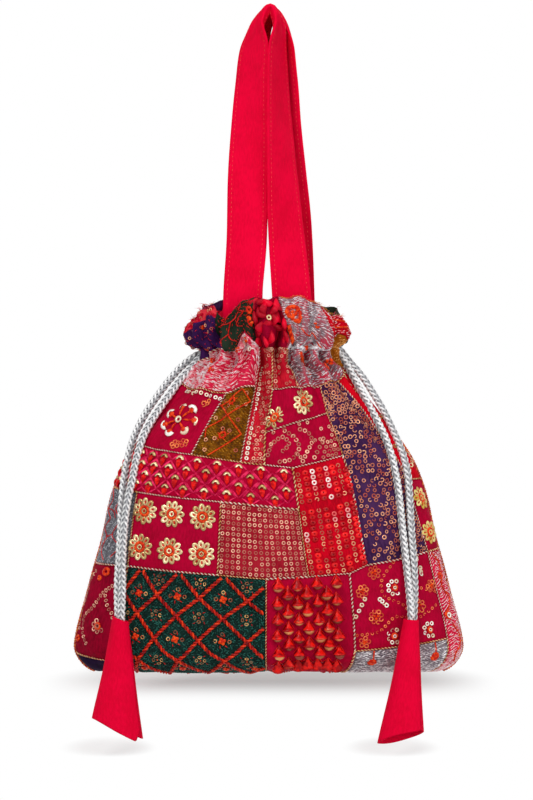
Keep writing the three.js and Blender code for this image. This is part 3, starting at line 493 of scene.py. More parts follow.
def rim_hang(side, across, over_neck):
    """How far the heading hangs at a place: nothing at the neck, the dip of the rim at the top,
    and between them each outward roll of the ruffle sags over the cords as a lip."""
    dips = np.array(front_rim_dip if side < 0 else back_rim_dip)
    above = np.maximum(over_neck, 0) / HEADING_TALL
    dip = sum(np.interp(across + d, dips[:, 0], dips[:, 1]) for d in (-0.04, -0.02, 0, 0.02, 0.04)) / 5
    round_ = 2 * np.pi * (across / 4 + (0 if side < 0 else 0.5))
    wander = 0.5 * np.sin(2 * round_ + 0.6) + 0.4 * np.sin(3 * round_)
    wave = np.cos(RUFFLES * round_ + 1.9 * wander + 0.8)
    lip = 5.0 * np.clip(0.35 + 0.65 * wave, 0, 1)
    if side < 0:
        lip = sum(size * np.exp(-(((across - place) / width) ** 2)) for place, width, size in front_lips)
    lip = lip * np.exp(-(((above - 0.34) / 0.2) ** 2)) * np.minimum(1, above / 0.1)
    scallop = 0.9 * np.cos(17 * round_ + 3 * wander) * smooth((above - 0.5) / 0.5)
    return dip * above**1.4 + lip + scallop


def slack(side, across, up):
    """Soft unevenness of hanging cloth: a few crossed waves, half a millimetre or so."""
    a, u = across * 3.1 + side * 1.7, up * 7.3
    waves = np.sin(3.1 * a + 1.3 * u) * np.sin(1.9 * u + 0.7 * a) + 0.6 * np.sin(5.3 * a - 2.9 * u + 1)
    return 0.45 * (waves + 0.5 * np.sin(9.1 * a + 4.7 * u))


def cloth_at(side, across, up, deep=0.0):
    """A point of the outer face of the cloth, in millimetres, or deep below that face."""
    across, up = np.broadcast_arrays(np.asarray(across, dtype=float), np.asarray(up, dtype=float))
    over_neck = level_of(up)[0] - BODY_TALL
    push = gathers(side, across, over_neck) - fold_deep(side, across, over_neck) + slack(side, across, up)
    point = smooth_bag(side, across, up) + outward(side, across, up) * (push - deep)[..., None]
    point[..., 1] += side * 0.42
    point[..., 2] -= rim_hang(side, across, over_neck)
    return point


def cloth_frame(side, across, up):
    """Where a thing is sewn on: the point, and the directions across, along and out."""
    step = 0.004
    point = cloth_at(side, across, up)
    over = cloth_at(side, across + step, up) - cloth_at(side, across - step, up)
    rise = cloth_at(side, across, up + step) - cloth_at(side, across, up - step)
    out = np.cross(over, rise)
    out /= np.linalg.norm(out, axis=-1)[..., None]
    over /= np.linalg.norm(over, axis=-1)[..., None]
    return point, over, np.cross(out, over), out


# The patchwork. Each patch is a four-sided piece of cloth, sewn to its neighbours along named
# corners of the seams. Every corner is (across, up) on its panel.
f = dict(
    base_left=(-1, 0), base_a=(-0.53, 0), base_b=(-0.01, 0), base_c=(0.28, 0), base_d=(0.74, 0), base_right=(1, 0),
    strip_left=(-1, 0.16), strip_a=(-0.55, 0.11), waist_left=(-1, 0.41), waist_a=(-0.6, 0.405),
    waist_b=(-0.187, 0.383), waist_c=(-0.01, 0.373), waist_d=(0.142, 0.379), waist_e=(0.3, 0.387),
    waist_f=(0.376, 0.409), waist_g=(0.757, 0.443), waist_right=(1, 0.451), band_a=(0.289, 0.174),
    band_b=(0.748, 0.204), mid_left=(-1, 0.62), mid_a=(-0.64, 0.607), mid_b=(-0.194, 0.582), mid_c=(0.117, 0.561),
    mid_d=(0.71, 0.642), mid_right=(1, 0.642), chest_left=(-1, 0.745), chest_a=(-0.371, 0.71),
    chest_b=(-0.126, 0.69), chest_c=(-0.02, 0.683), chest_d=(0.101, 0.674), chest_e=(0.351, 0.708),
    petal_a=(-0.02, 0.772), petal_b=(0.37, 0.827), yoke_left=(-1, 0.9), yoke_a=(-0.305, 0.877),
    yoke_b=(-0.107, 0.899), yoke_c=(0.022, 0.885), yoke_d=(0.228, 0.893), yoke_e=(0.442, 0.902),
    yoke_f=(0.655, 0.91), yoke_g=(0.87, 0.94), yoke_right=(1, 0.95), collar_left=(-1, 0.945), neck_a=(-0.45, 1.03),
    lip_a=(-0.34, 1.05), ridge_a=(-0.255, 1.27), ridge_b=(-0.205, 1.36), ridge_c=(-0.15, 1.27), cuff_b=(0.56, 1.42), neck_g=(0.73, 1.04),
    neck_b=(-0.11, 1.03), neck_c=(0.04, 1.03), neck_d=(0.18, 1.03), cuff_a=(0.58, 1.2), cuff_right=(1, 1.3),
    rim_left=(-1, 2), rim_a=(-0.5, 2), rim_b=(-0.13, 2), rim_c=(0.08, 2), rim_d=(0.5, 2), rim_right=(1, 2),
)


class Patch:
    """A patch of one panel between four runs of seam corners. place() takes shares across and
    up the patch, and fills in between the four sides in Coons's way."""

    def __init__(self, side, bottom, right, top, left):
        named = [[f[c] if isinstance(c, str) else c for c in run] for run in (bottom, right, top, left)]
        self.side = side
        self.bottom, self.right, self.top, self.left = (np.array(run, dtype=float) for run in named)
        middle = np.linspace(0, 1, 60)
        half = np.full(60, 0.5)
        self.wide = np.linalg.norm(np.diff(self.at(middle, half), axis=0), axis=1).sum()
        self.tall = np.linalg.norm(np.diff(self.at(half, middle), axis=0), axis=1).sum()

    @staticmethod
    def along(run, share):
        # One step of "up" is the whole body below the neck, and only the heading above it.
        even = run - np.maximum(run - [9, 1], 0) * (1 - HEADING_TALL / CLOTH_LENGTH)
        lengths = np.concatenate([[0], np.cumsum(np.linalg.norm(np.diff(even, axis=0), axis=1))])
        return np.stack([np.interp(share * lengths[-1], lengths, run[:, k]) for k in (0, 1)], -1)

    def place(self, s, t):
        s, t = np.broadcast_arrays(np.asarray(s, dtype=float), np.asarray(t, dtype=float))
        u, v = s[..., None], t[..., None]
        sides = (1 - v) * self.along(self.bottom, s) + v * self.along(self.top, s)
        sides = sides + (1 - u) * self.along(self.left, t) + u * self.along(self.right, t)
        corners = (1 - u) * (1 - v) * self.bottom[0] + u * (1 - v) * self.bottom[-1]
        return sides - corners - (1 - u) * v * self.top[0] - u * v * self.top[-1]

    def at(self, s, t, deep=0.0):
        place = self.place(s, t)
        return cloth_at(self.side, place[..., 0], place[..., 1], deep)

    def frame(self, s, t):
        """Where a thing is sewn on, its directions across and up the patch, and out."""
        step = 0.004
        point = self.at(s, t)
        over = self.at(np.add(s, step), t) - self.at(np.subtract(s, step), t)
        rise = self.at(s, np.add(t, step)) - self.at(s, np.subtract(t, step))
        out = np.cross(over, rise)
        out /= np.linalg.norm(out, axis=-1)[..., None]
        over /= np.linalg.norm(over, axis=-1)[..., None]
        return point, over, np.cross(out, over), out


def sew_patch(name, patch, finish, fine=1.1, cloth=1.0, puff=0.7):
    """A patch as a closed slab. Its outer face swells by puff between its seams, so that each
    seam lies in a small valley: puff (1 - e^(-distance to the nearest seam / 2.2))."""
    columns = int(np.clip(patch.wide / fine, 12, 150))
    rows = int(np.clip(patch.tall / fine, 12, 150))
    edge_s, edge_t = 0.12 / patch.wide, 0.12 / patch.tall
    t, s = np.meshgrid(np.linspace(edge_t, 1 - edge_t, rows), np.linspace(edge_s, 1 - edge_s, columns), indexing="ij")
    near = np.minimum(np.minimum(s, 1 - s) * patch.wide, np.minimum(t, 1 - t) * patch.tall)
    swell = puff * (1 - np.exp(-near / 2.2)) - 0.35
    outer, inner = patch.at(s, t, -swell), patch.at(s, t, cloth)
    laid = np.stack([s * patch.wide, t * patch.tall], -1).reshape(-1, 2)
    points = np.concatenate([outer.reshape(-1, 3), inner.reshape(-1, 3)]) * MM
    size = rows * columns
    front = grid_faces(rows, columns)
    back = grid_faces(rows, columns, start=size)[:, ::-1]
    rim = np.concatenate([
        np.arange(columns - 1), columns - 1 + columns * np.arange(rows - 1),
        size - 1 - np.arange(columns - 1), size - columns - columns * np.arange(rows - 1),
    ])
    onward = np.roll(rim, -1)
    edge = np.stack([rim, rim + size, onward + size, onward], -1)
    return solid(name, points, np.concatenate([front, back, edge]), finish, np.tile(laid, (2, 1)))


def plain_cloth(name, colour, deep, roughness=0.7, slub=0.5):
    """Woven cloth: two shades in soft patches and streaks, and the ribs of warp and weft."""
    cloth = Finish(name, roughness=roughness, specular_ior_level=0.05)
    across, along, _ = cloth.parts(cloth.along())
    streak = cloth.noise(1.0, 3.0, where=cloth.node("ShaderNodeCombineXYZ", None, {0: across * 0.9, 1: along * 0.25}))
    mottle = cloth.noise(55.0, 3.0)
    cloth.set(base_color=cloth.mix((streak * 0.5 + mottle * 0.5).between(0.36, 0.62), deep, colour))
    weave = (across * 9.0).sin() * 0.5 + (along * 9.0).sin() * 0.5 + streak * slub * 2.0
    cloth.bump(weave, 0.00012, 0.7)
    return cloth


crimson = plain_cloth("crimson_silk", (0.50, 0.0, 0.034), (0.36, 0.0, 0.022))
bright = plain_cloth("bright_red_silk", (0.72, 0.0, 0.012), (0.46, 0.0, 0.008))
column_red = plain_cloth("column_red_silk", (0.68, 0.0, 0.014), (0.40, 0.0, 0.009))
rose = plain_cloth("rose_silk", (0.84, 0.020, 0.080), (0.62, 0.008, 0.045))
dusty = plain_cloth("dusty_red_silk", (0.44, 0.014, 0.030), (0.29, 0.004, 0.016))
brick = plain_cloth("brick_red_silk", (0.70, 0.014, 0.034), (0.46, 0.004, 0.018))
green = plain_cloth("bottle_green_cotton", (0.008, 0.034, 0.026), (0.003, 0.015, 0.012))
mossy = plain_cloth("moss_green_cotton", (0.022, 0.040, 0.024), (0.008, 0.016, 0.010))
purple = plain_cloth("purple_silk", (0.072, 0.022, 0.092), (0.034, 0.009, 0.050))
amber = plain_cloth("amber_cotton", (0.60, 0.19, 0.010), (0.34, 0.08, 0.005))
plum = plain_cloth("plum_cotton", (0.022, 0.006, 0.040), (0.009, 0.002, 0.018))
mustard = plain_cloth("mustard_cotton", (0.26, 0.085, 0.004), (0.085, 0.024, 0.002))
silver = plain_cloth("silver_grey_cloth", (0.60, 0.020, 0.060), (0.22, 0.16, 0.18))
silver_hem = plain_cloth("silver_hem_cloth", (0.34, 0.27, 0.30), (0.12, 0.10, 0.12))
slate = plain_cloth("slate_grey_cloth", (0.17, 0.17, 0.19), (0.08, 0.075, 0.09))
wine = plain_cloth("wine_red_silk", (0.36, 0.0, 0.024), (0.20, 0.0, 0.013))
# The left end of the heading is purple, with its raw crimson edge turned over to the outside.
turned_purple = plain_cloth("turned_purple_silk", (0.060, 0.012, 0.100), (0.028, 0.005, 0.050))
turned = turned_purple.parts(turned_purple.along())
edge = (turned[1] + turned_purple.noise(110.0) * 7.0 + turned[0] * -0.34) > 18.5
shades = Value(turned_purple, turned_purple.shader.inputs["Base Color"].links[0].from_socket)
fray = turned_purple.mix(turned_purple.noise(300.0, 3.0).between(0.4, 0.6), (0.46, 0.0, 0.018), (0.84, 0.045, 0.07))
turned_purple.set(base_color=turned_purple.mix(edge, shades, fray))

FRONT, BACK = -1, 1
front = {
    name: (finish, Patch(FRONT, *(side.split() for side in sides)))
    for name, finish, *sides in (
        ("hem_plum_strip", plum, "base_left base_a", "base_a strip_a", "strip_left strip_a", "base_left strip_left"),
        ("wine_flower", wine, "strip_left strip_a", "strip_a waist_a", "waist_left waist_a", "strip_left waist_left"),
        ("slate_vine", slate, "waist_left waist_a", "waist_a mid_a", "mid_left mid_a", "waist_left mid_left"),
        ("green_lattice", green, "base_a base_b", "base_b waist_c", "waist_a waist_b waist_c", "base_a strip_a waist_a"),
        ("red_cone_bead", crimson, "base_b base_c", "base_c band_a waist_e", "waist_c waist_d waist_e", "base_b waist_c"),
        ("silver_band", silver_hem, "base_c base_d", "base_d band_b", "band_a band_b", "base_c band_a"),
        ("crimson_spray", crimson, "band_a band_b", "band_b waist_g", "waist_e waist_f waist_g", "band_a waist_e"),
        ("rose_side", rose, "base_d base_right", "base_right waist_right", "waist_g waist_right", "base_d band_b waist_g"),
        ("six_flower", crimson, "waist_a waist_b", "waist_b mid_b", "mid_a mid_b", "waist_a mid_a"),
        ("dusty_grid", dusty, "waist_b waist_c waist_d", "waist_d mid_c", "mid_b mid_c", "waist_b mid_b"),
        ("red_column", column_red, "waist_d waist_e waist_f", "waist_f chest_e", "chest_d chest_e", "waist_d mid_c chest_d"),
        ("purple_ring", purple, "waist_f waist_g", "waist_g mid_d yoke_f", "yoke_e yoke_f", "waist_f chest_e petal_b yoke_e"),
        ("yellow_flower", crimson, "waist_g waist_right", "waist_right mid_right", "mid_d mid_right", "waist_g mid_d"),
        ("bright_side", bright, "mid_d mid_right", "mid_right yoke_right", "yoke_f yoke_g yoke_right", "mid_d yoke_f"),
        ("diamond_band", crimson, "mid_left mid_a mid_b mid_c", "mid_c chest_d",
         "chest_left chest_a chest_b chest_c chest_d", "mid_left chest_left"),
        ("sequin_flower", crimson, "chest_left chest_a", "chest_a yoke_a", "yoke_left yoke_a", "chest_left yoke_left"),
        ("mustard_lozenge", mustard, "chest_a chest_b", "chest_b yoke_b", "yoke_a yoke_b", "chest_a yoke_a"),
        ("rose_strip", brick, "chest_b chest_c", "chest_c petal_a yoke_c neck_c", "neck_b neck_c", "chest_b yoke_b neck_b"),
        ("curl_sequin", crimson, "chest_c chest_d chest_e", "chest_e petal_b", "petal_a petal_b", "chest_c petal_a"),
        ("gold_flower", crimson, "petal_a petal_b", "petal_b yoke_e", "yoke_c yoke_d yoke_e", "petal_a yoke_c"),
        ("throat_sequin", brick, "yoke_c yoke_d", "yoke_d neck_d", "neck_c neck_d", "yoke_c neck_c"),
        ("silver_yoke", silver, "yoke_d yoke_e yoke_f yoke_g", "yoke_g neck_g cuff_a cuff_b rim_d", "rim_c rim_d", "yoke_d neck_d rim_c"),
        ("mustard_cuff", amber, "yoke_g yoke_right", "yoke_right cuff_right", "cuff_b cuff_right", "yoke_g neck_g cuff_a cuff_b"),
        ("bright_ruffle", bright, "cuff_b cuff_right", "cuff_right rim_right", "rim_d rim_right", "cuff_b rim_d"),
        ("crimson_ruffle", wine, "neck_b neck_c neck_d", "neck_d rim_c", "rim_b rim_c", "neck_b rim_b"),
        ("mossy_ruffle", mossy, "neck_a lip_a ridge_a ridge_b ridge_c neck_b", "neck_b rim_b", "rim_a rim_b", "neck_a rim_a"),
        ("purple_ruffle", turned_purple, "collar_left neck_a", "neck_a rim_a", "rim_left rim_a", "collar_left rim_left"),
        ("rose_yoke", rose, "yoke_left yoke_a yoke_b", "yoke_b neck_b", "collar_left neck_a lip_a ridge_a ridge_b ridge_c neck_b", "yoke_left collar_left"),
    )
}
back_row_edges = (0, 0.36, 0.62, 0.88, 2)
back_cuts = ((-0.3, 0.34), (-0.45, 0.12, 0.62), (-0.2, 0.4), (-0.52, -0.05, 0.45))
back_cloths = (
    (("crimson", crimson), ("green", green), ("rose", rose)),
    (("purple", purple), ("bright", bright), ("dusty", dusty), ("mustard", mustard)),
    (("silver", silver), ("crimson", crimson), ("wine", wine)),
    (("mossy", mossy), ("crimson", crimson), ("rose", rose), ("purple", purple)),
)
back = {}
for row, cloths in enumerate(back_cloths):
    low, high = back_row_edges[row : row + 2]
    cuts = (-1, *back_cuts[row], 1)
    under = back_cuts[row - 1] if row else ()
    over = back_cuts[row + 1] if row < 3 else ()
    for i, (colour, finish) in enumerate(cloths):
        l, r = cuts[i : i + 2]
        bottom = [(l, low), *((c, low) for c in under if l < c < r), (r, low)]
        top = [(l, high), *((c, high) for c in over if l < c < r), (r, high)]
        patch = Patch(BACK, bottom, [(r, low), (r, high)], top, [(l, low), (l, high)])
        back[f"row{row + 1}_{colour}_{i + 1}"] = (finish, patch)

slots = {
    "crimson": [crimson], "bright": [bright, column_red], "rose": [rose], "dusty": [dusty, brick], "green": [green],
    "mossy": [mossy], "purple": [purple, turned_purple], "plum": [plum], "mustard": [mustard, amber], "silver": [silver, silver_hem],
    "slate": [slate], "wine": [wine],
}
for panel, patches in (("front", front), ("back", back)):
    for name, (finish, patch) in patches.items():
        piece = sew_patch(f"{panel}_{name}_patch", patch, finish, fine=1.1 if panel == "front" else 1.8)
        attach(piece, "root")
        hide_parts(f"{panel}_{name}")
        next(f"{word}_cloth" for word, finishes in slots.items() if finish in finishes)
        s, t = np.meshgrid(np.linspace(0, 1, 60), np.linspace(0, 1, 60))
        grid = patch.at(s, t)
        cut = np.linalg.norm(np.cross(grid[1:, :-1] - grid[:-1, :-1], grid[:-1, 1:] - grid[:-1, :-1]), axis=-1).sum()
        wide, tall = (np.linalg.norm(np.diff(part, axis=0), axis=-1).sum(0).max() for part in (grid.transpose(1, 0, 2), grid))

# The gold seams: over every seam of the patchwork runs a thin cord of a gold metal thread twisted
# with a crimson one, stitched down so that it follows each fold.
dice = np.random.default_rng(11)


def line_on(frame_at, places, step=0.6, lift=0.3, curved=False):
    """A line sewn along places on the cloth: points every step millimetres, and out from it."""
    places = np.asarray(places, dtype=float)
    if curved:
        places = curve_through(np.column_stack([places, np.zeros(len(places))]), 30 * len(places))[:, :2]
    k = np.linspace(0, len(places) - 1, 40 * len(places))
    spread = [np.interp(k, np.arange(len(places)), column) for column in places.T]
    point, _, _, out = frame_at(*spread)
    run = np.concatenate([[0], np.cumsum(np.linalg.norm(np.diff(point, axis=0), axis=1))])
    even = np.linspace(0, run[-1], max(4, int(run[-1] / step)))
    both = [np.stack([np.interp(even, run, column) for column in part.T], -1) for part in (point, out)]
    out = both[1] / np.linalg.norm(both[1], axis=1)[:, None]
    return both[0] + out * lift, out


def twisted(line, strand=0.42, spread=0.36, pitch=3.2, strands=2, sides=6):
    """Strands wound round a line: each keeps its distance from it and turns once in a pitch."""
    path, out = line
    forward = np.gradient(path, axis=0)
    forward /= np.linalg.norm(forward, axis=1)[:, None]
    across = np.cross(out, forward)
    across /= np.linalg.norm(across, axis=1)[:, None]
    up = np.cross(forward, across)
    run = np.concatenate([[0], np.cumsum(np.linalg.norm(np.diff(path, axis=0), axis=1))])
    around = np.linspace(0, 2 * np.pi, sides, endpoint=False)
    points, faces, laid = [], [], []
    for k in range(strands):
        angle = 2 * np.pi * (run / pitch + k / strands)
        away = np.cos(angle)[:, None] * across + np.sin(angle)[:, None] * up
        centre = path + away * spread
        ahead = np.gradient(centre, axis=0)
        ahead /= np.linalg.norm(ahead, axis=1)[:, None]
        flat = np.cross(away, ahead)
        ring = centre[:, None] + strand * (
            flat[:, None] * np.cos(around)[None, :, None] + away[:, None] * np.sin(around)[None, :, None]
        )
        points.append(ring.reshape(-1, 3))
        faces.append(tube_faces(len(path), sides, start=k * len(path) * sides))
        laid.append(np.stack([run[:, None] + 0 * around, k + 0 * run[:, None] + 0 * around], -1).reshape(-1, 2))
    return np.concatenate(points), np.concatenate(faces), np.concatenate(laid)


def sew_on(name, parts, finish):
    """One piece of all its parts, each of which is points in millimetres, faces and, where it
    has them, its places in the UV map."""
    starts = np.cumsum([0] + [len(part[0]) for part in parts])
    points = np.concatenate([part[0] for part in parts]) * MM
    faces = np.concatenate([part[1] + start for part, start in zip(parts, starts)])
    laid = np.concatenate([part[2] if len(part) > 2 else np.zeros((len(part[0]), 2)) for part in parts])
    piece = solid(name, points, faces, finish, laid)
    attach(piece, "root")
    return piece


def thread(name, dark, light, roughness=0.5, metallic=0.0, scale=420.0, **shader):
    """Embroidery thread in two shades, with the fine lines of its twist."""
    finish = Finish(name, roughness=roughness, metallic=metallic, specular_ior_level=0.15, **shader)
    finish.set(base_color=finish.mix(finish.noise(scale, 2.0).between(0.38, 0.62), dark, light))
    finish.bump(finish.noise(1900.0, 2.0), 0.0002, 0.6)
    return finish


def two_tone(name, first, second, roughness=0.4, metal=0.0):
    """A cord of two threads: pairs of dark and light shades for the one strand and the other."""
    finish = Finish(name, roughness=roughness, specular_ior_level=0.2)
    run, strand, _ = finish.parts(finish.along())
    shade = finish.noise(240.0, 3.0).between(0.35, 0.62)
    other = strand > 0.5
    finish.set(base_color=finish.mix(other, finish.mix(shade, *first), finish.mix(shade, *second)))
    finish.set(metallic=(1 - other) * metal)
    finish.bump((run * 14.0).sin(), 0.0001, 0.4)
    return finish


gold_zari = two_tone(
    "gold_zari", ((0.76, 0.40, 0.10), (1.0, 0.82, 0.44)), ((0.22, 0.002, 0.008), (0.55, 0.012, 0.025)), roughness=0.34, metal=0.2)
white_zari = two_tone(
    "white_zari", ((0.78, 0.54, 0.34), (1.0, 0.95, 0.82)), ((0.26, 0.002, 0.010), (0.62, 0.012, 0.035)), roughness=0.34, metal=0.15)


def seam_runs(patches):
    """Every inner stretch of seam once, as its two corners."""
    seams = set()
    for _, patch in patches.values():
        for run in (patch.bottom, patch.right, patch.top, patch.left):
            for a, b in zip(run[:-1], run[1:]):
                outer = any(abs(a[k]) == abs(b[k]) == edge for k, edge in ((0, 1), (1, 2))) or a[1] == b[1] == 0
                if not outer:
                    seams.add(tuple(sorted([tuple(a), tuple(b)])))
    return sorted(seams)


for panel, side, patches in (("front", FRONT, front), ("back", BACK, back)):
    cords = []
    for a, b in seam_runs(patches):
        line = line_on(lambda x, y: cloth_frame(side, x, y), [a, b], step=0.45 if side == FRONT else 0.6, lift=0.15)
        thick = dice.uniform(0.75, 1.15)
        if side == FRONT and min(a[1], b[1]) >= 1:
            continue  # In the front of the heading the folds hide the seams.
        cords.append(twisted(line, 0.38 * thick, 0.36 * thick, 2.5 * thick))
    sew_on(f"{panel}_gold_seams", cords[::2], gold_zari)
    sew_on(f"{panel}_white_gold_seams", cords[1::2], white_zari)

# Sequins, beads and knots are small shapes of a few dozen faces. Each is made once and laid on
# the cloth wherever a needle put one.


def ring_plate(outer=1.5, hole=0.62, cup=0.3, thick=0.14, sides=10, long=1.0):
    """A sequin: a four-sided section carried round its hole. The rim stands cup above the hole,
    and long stretches it along the cloth."""
    angle = np.linspace(0, 2 * np.pi, sides, endpoint=False)[:, None]
    radius, high = np.array([hole, outer, outer, hole]), np.array([0, cup, cup + thick, thick])
    points = np.stack([radius * np.cos(angle), long * radius * np.sin(angle), high + 0 * angle], -1).reshape(-1, 3)
    i, k = np.meshgrid(np.arange(sides), np.arange(4), indexing="ij")
    ahead, over = (i + 1) % sides, (k + 1) % 4
    quads = np.stack([i * 4 + k, ahead * 4 + k, ahead * 4 + over, i * 4 + over], -1)
    return points, quads.reshape(-1, 4)


def bead(radius=1.0, high=0.9, sides=8, rows=4):
    """A bead or knot: rings that close towards a rounded crown, and a flat foot."""
    angle = np.linspace(0, np.pi / 2 * 0.9, rows)[:, None]
    around = np.linspace(0, 2 * np.pi, sides, endpoint=False)
    x, y = radius * np.cos(angle) * np.cos(around), radius * np.cos(angle) * np.sin(around)
    return np.stack([x, y, high * np.sin(angle) + 0 * x], -1).reshape(-1, 3), tube_faces(rows, sides)


def half_cup(radius=2.2, high=1.2, sides=6, rows=3, deep=0.5):
    """A sequin folded into half a cup: an arched strip that opens downwards, with its wall."""
    turn = np.linspace(0, np.pi, 2 * sides)
    rings = []
    for share in np.linspace(1, 0.45, rows):
        rings.append(np.stack([radius * share * np.cos(turn), radius * share * np.sin(turn), high * (1 - share) * 1.6 + 0 * turn], -1))
    outer = np.stack(rings)
    inner = outer - [0, 0, 0.18]
    grid = np.concatenate([outer, inner[::-1]])
    rows2 = len(grid)
    i, j = np.meshgrid(np.arange(rows2), np.arange(2 * sides - 1), indexing="ij")
    ahead = (i + 1) % rows2
    n = 2 * sides
    quads = np.stack([i * n + j, i * n + j + 1, ahead * n + j + 1, ahead * n + j], -1).reshape(-1, 4)
    k = np.arange(rows - 1)
    left = np.stack([k * n, (k + 1) * n, (rows2 - 2 - k) * n, (rows2 - 1 - k) * n], -1)
    right = left[:, ::-1] + n - 1
    return grid.reshape(-1, 3), np.concatenate([quads, left, right])


def lay_on(template, spots, size=1.0, turn=0.0, lean=0.0, lift=0.35):
    """Copies of a small shape at spots: points with the directions across, along and out. Each
    is sized, turned on the cloth, and leant a little at random."""
    shape, faces = template
    point, over, rise, out = (np.asarray(part, dtype=float).reshape(-1, 3) for part in spots)
    count = len(point)
    turn = np.broadcast_to(turn, count)[:, None]
    x = over * np.cos(turn) + rise * np.sin(turn)
    tip = dice.normal(0, 1, (count, 2)) * lean
    z = out + over * tip[:, :1] + rise * tip[:, 1:]
    z /= np.linalg.norm(z, axis=1)[:, None]
    x = x - z * (x * z).sum(1)[:, None]
    x /= np.linalg.norm(x, axis=1)[:, None]
    axes = np.stack([x, np.cross(z, x), z], 1)
    size = np.asarray(size, dtype=float)
    if size.ndim < 2:
        size = np.broadcast_to(size, count)[:, None] * np.ones(3)
    placed = (point + out * lift)[:, None] + np.einsum("nkc,ncd->nkd", shape[None] * size[:, None], axes)
    every = (faces[None] + (np.arange(count) * len(shape))[:, None, None]).reshape(-1, 4)
    laid = np.stack([np.repeat(dice.random(count), len(shape)), np.tile(shape[:, 1], count)], -1)
    return placed.reshape(-1, 3), every, laid


def shifted(patch, s, t, x, y):
    """The shares across and up a patch of places x and y millimetres from (s, t)."""
    over = np.linalg.norm(patch.at(np.add(s, 0.01), t) - patch.at(np.subtract(s, 0.01), t), axis=-1) / 0.02
    rise = np.linalg.norm(patch.at(s, np.add(t, 0.01)) - patch.at(s, np.subtract(t, 0.01)), axis=-1) / 0.02
    return s + x / np.maximum(over, 0.4 * patch.wide), t + y / np.maximum(rise, 0.4 * patch.tall)


def grid_on(patch, pitch_x, pitch_y, stagger=0.0, margin=2.0, jitter=0.0, keep=1.0):
    """Shares of a grid of places, odd rows moved by stagger, some left out at random."""
    columns, rows = int((patch.wide - 2 * margin) / pitch_x) + 1, int((patch.tall - 2 * margin) / pitch_y) + 1
    j, i = np.meshgrid(np.arange(rows), np.arange(columns), indexing="ij")
    s = 0.5 + (i - (columns - 1) / 2 + stagger * (j % 2 - 0.5)) * pitch_x / patch.wide
    t = 0.5 + (j - (rows - 1) / 2) * pitch_y / patch.tall
    s = s + dice.normal(0, 1, s.shape) * jitter / patch.wide
    t = t + dice.normal(0, 1, s.shape) * jitter / patch.tall
    edge_s, edge_t = 0.8 * margin / patch.wide, 0.8 * margin / patch.tall
    kept = (dice.random(s.shape) < keep) & (s > edge_s) & (s < 1 - edge_s) & (t > edge_t) & (t < 1 - edge_t)
    return s[kept], t[kept]


def along_line(patch, places, pitch):
    """Spots every pitch millimetres along a curved line of places on a patch."""
    point, out = line_on(patch.frame, places, step=pitch, lift=0, curved=True)
    forward = np.gradient(point, axis=0)
    forward /= np.linalg.norm(forward, axis=1)[:, None]
    return point, forward, np.cross(out, forward), out


def round_places(patch, s, t, radius, count, start=0.0):
    """Spots on a ring round (s, t), and the angle at which each lies."""
    angle = start + 2 * np.pi * np.arange(count) / count
    around = shifted(patch, np.full(count, float(s)), np.full(count, float(t)), radius * np.cos(angle), radius * np.sin(angle))
    return patch.frame(*around), angle


def dashes(starts, ends, outs, wide, high, bow=0.5, sides=6, steps=5):
    """Short threads: each is a half-sunk oval tube from start to end that rises to bow in the
    middle and closes at its tips. Arrays of points in millimetres go in, and points and faces come out."""
    along = ends - starts
    length = np.linalg.norm(along, axis=1)
    forward = along / length[:, None]
    across = np.cross(outs, forward)
    across /= np.linalg.norm(across, axis=1)[:, None]
    up = np.cross(forward, across)
    t = np.linspace(0, 1, steps)
    swell = np.clip(np.sin(np.pi * (0.08 + 0.84 * t)), 0.25, 1)
    angle = np.linspace(0, 2 * np.pi, sides, endpoint=False)
    middle = starts[:, None] + along[:, None] * t[None, :, None] + up[:, None] * (bow * np.sin(np.pi * t))[None, :, None]
    ring = (
        middle[:, :, None]
        + across[:, None, None] * (wide / 2 * swell[:, None] * np.cos(angle))[None, ..., None]
        + up[:, None, None] * (high / 2 * swell[:, None] * np.sin(angle))[None, ..., None]
    )
    one = tube_faces(steps, sides)
    faces = one[None] + (np.arange(len(starts)) * steps * sides)[:, None, None]
    return ring.reshape(-1, 3), faces.reshape(-1, 4)


def sequin_film(name, dull, shine, roughness=0.3, metallic=0.35, **shader):
    """Metal film: each sequin gets a random shade between dull and shine, partly its own tone and partly a painted
    glint that stands in for the light it catches.
    """
    finish = Finish(name, roughness=roughness, metallic=metallic, **shader)
    tone_and_painted_glint = finish.parts(finish.along())[0]
    finish.set(base_color=finish.mix(tone_and_painted_glint.between(0.1, 1.0), dull, shine))
    finish.bump(finish.noise(700.0), 0.0001, 0.3)
    return finish


gold_film = sequin_film("gold_sequin_film", (0.48, 0.30, 0.11), (0.92, 0.74, 0.42), roughness=0.26, metallic=0.45)
dusty_film = sequin_film("dusty_gold_sequin_film", (0.42, 0.09, 0.06), (0.90, 0.48, 0.33))
copper_film = sequin_film("copper_sequin_film", (0.42, 0.06, 0.03), (0.90, 0.40, 0.22))
flame_film = sequin_film("flame_sequin_film", (0.62, 0.05, 0.01), (0.95, 0.24, 0.06))
pink_film = sequin_film("pink_silver_sequin_film", (0.70, 0.08, 0.08), (1.0, 0.78, 0.74))
orange_rayon = thread("orange_rayon", (0.60, 0.010, 0.002), (0.95, 0.085, 0.006), roughness=0.34)
red_rayon = thread("red_rayon", (0.52, 0.0, 0.003), (0.95, 0.010, 0.006), roughness=0.28)
magenta_rayon = thread("magenta_rayon", (0.62, 0.0, 0.055), (0.98, 0.03, 0.15), roughness=0.30)
silver_zari = thread("silver_zari", (0.36, 0.32, 0.36), (1.0, 0.98, 1.0), roughness=0.32, metallic=0.2)
rose_zari = thread("rose_silver_zari", (0.96, 0.22, 0.28), (1.0, 0.90, 0.92), roughness=0.38, metallic=0.05)
pale_zari = thread("pale_rose_zari", (1.0, 0.42, 0.48), (1.0, 0.94, 0.94), roughness=0.36)
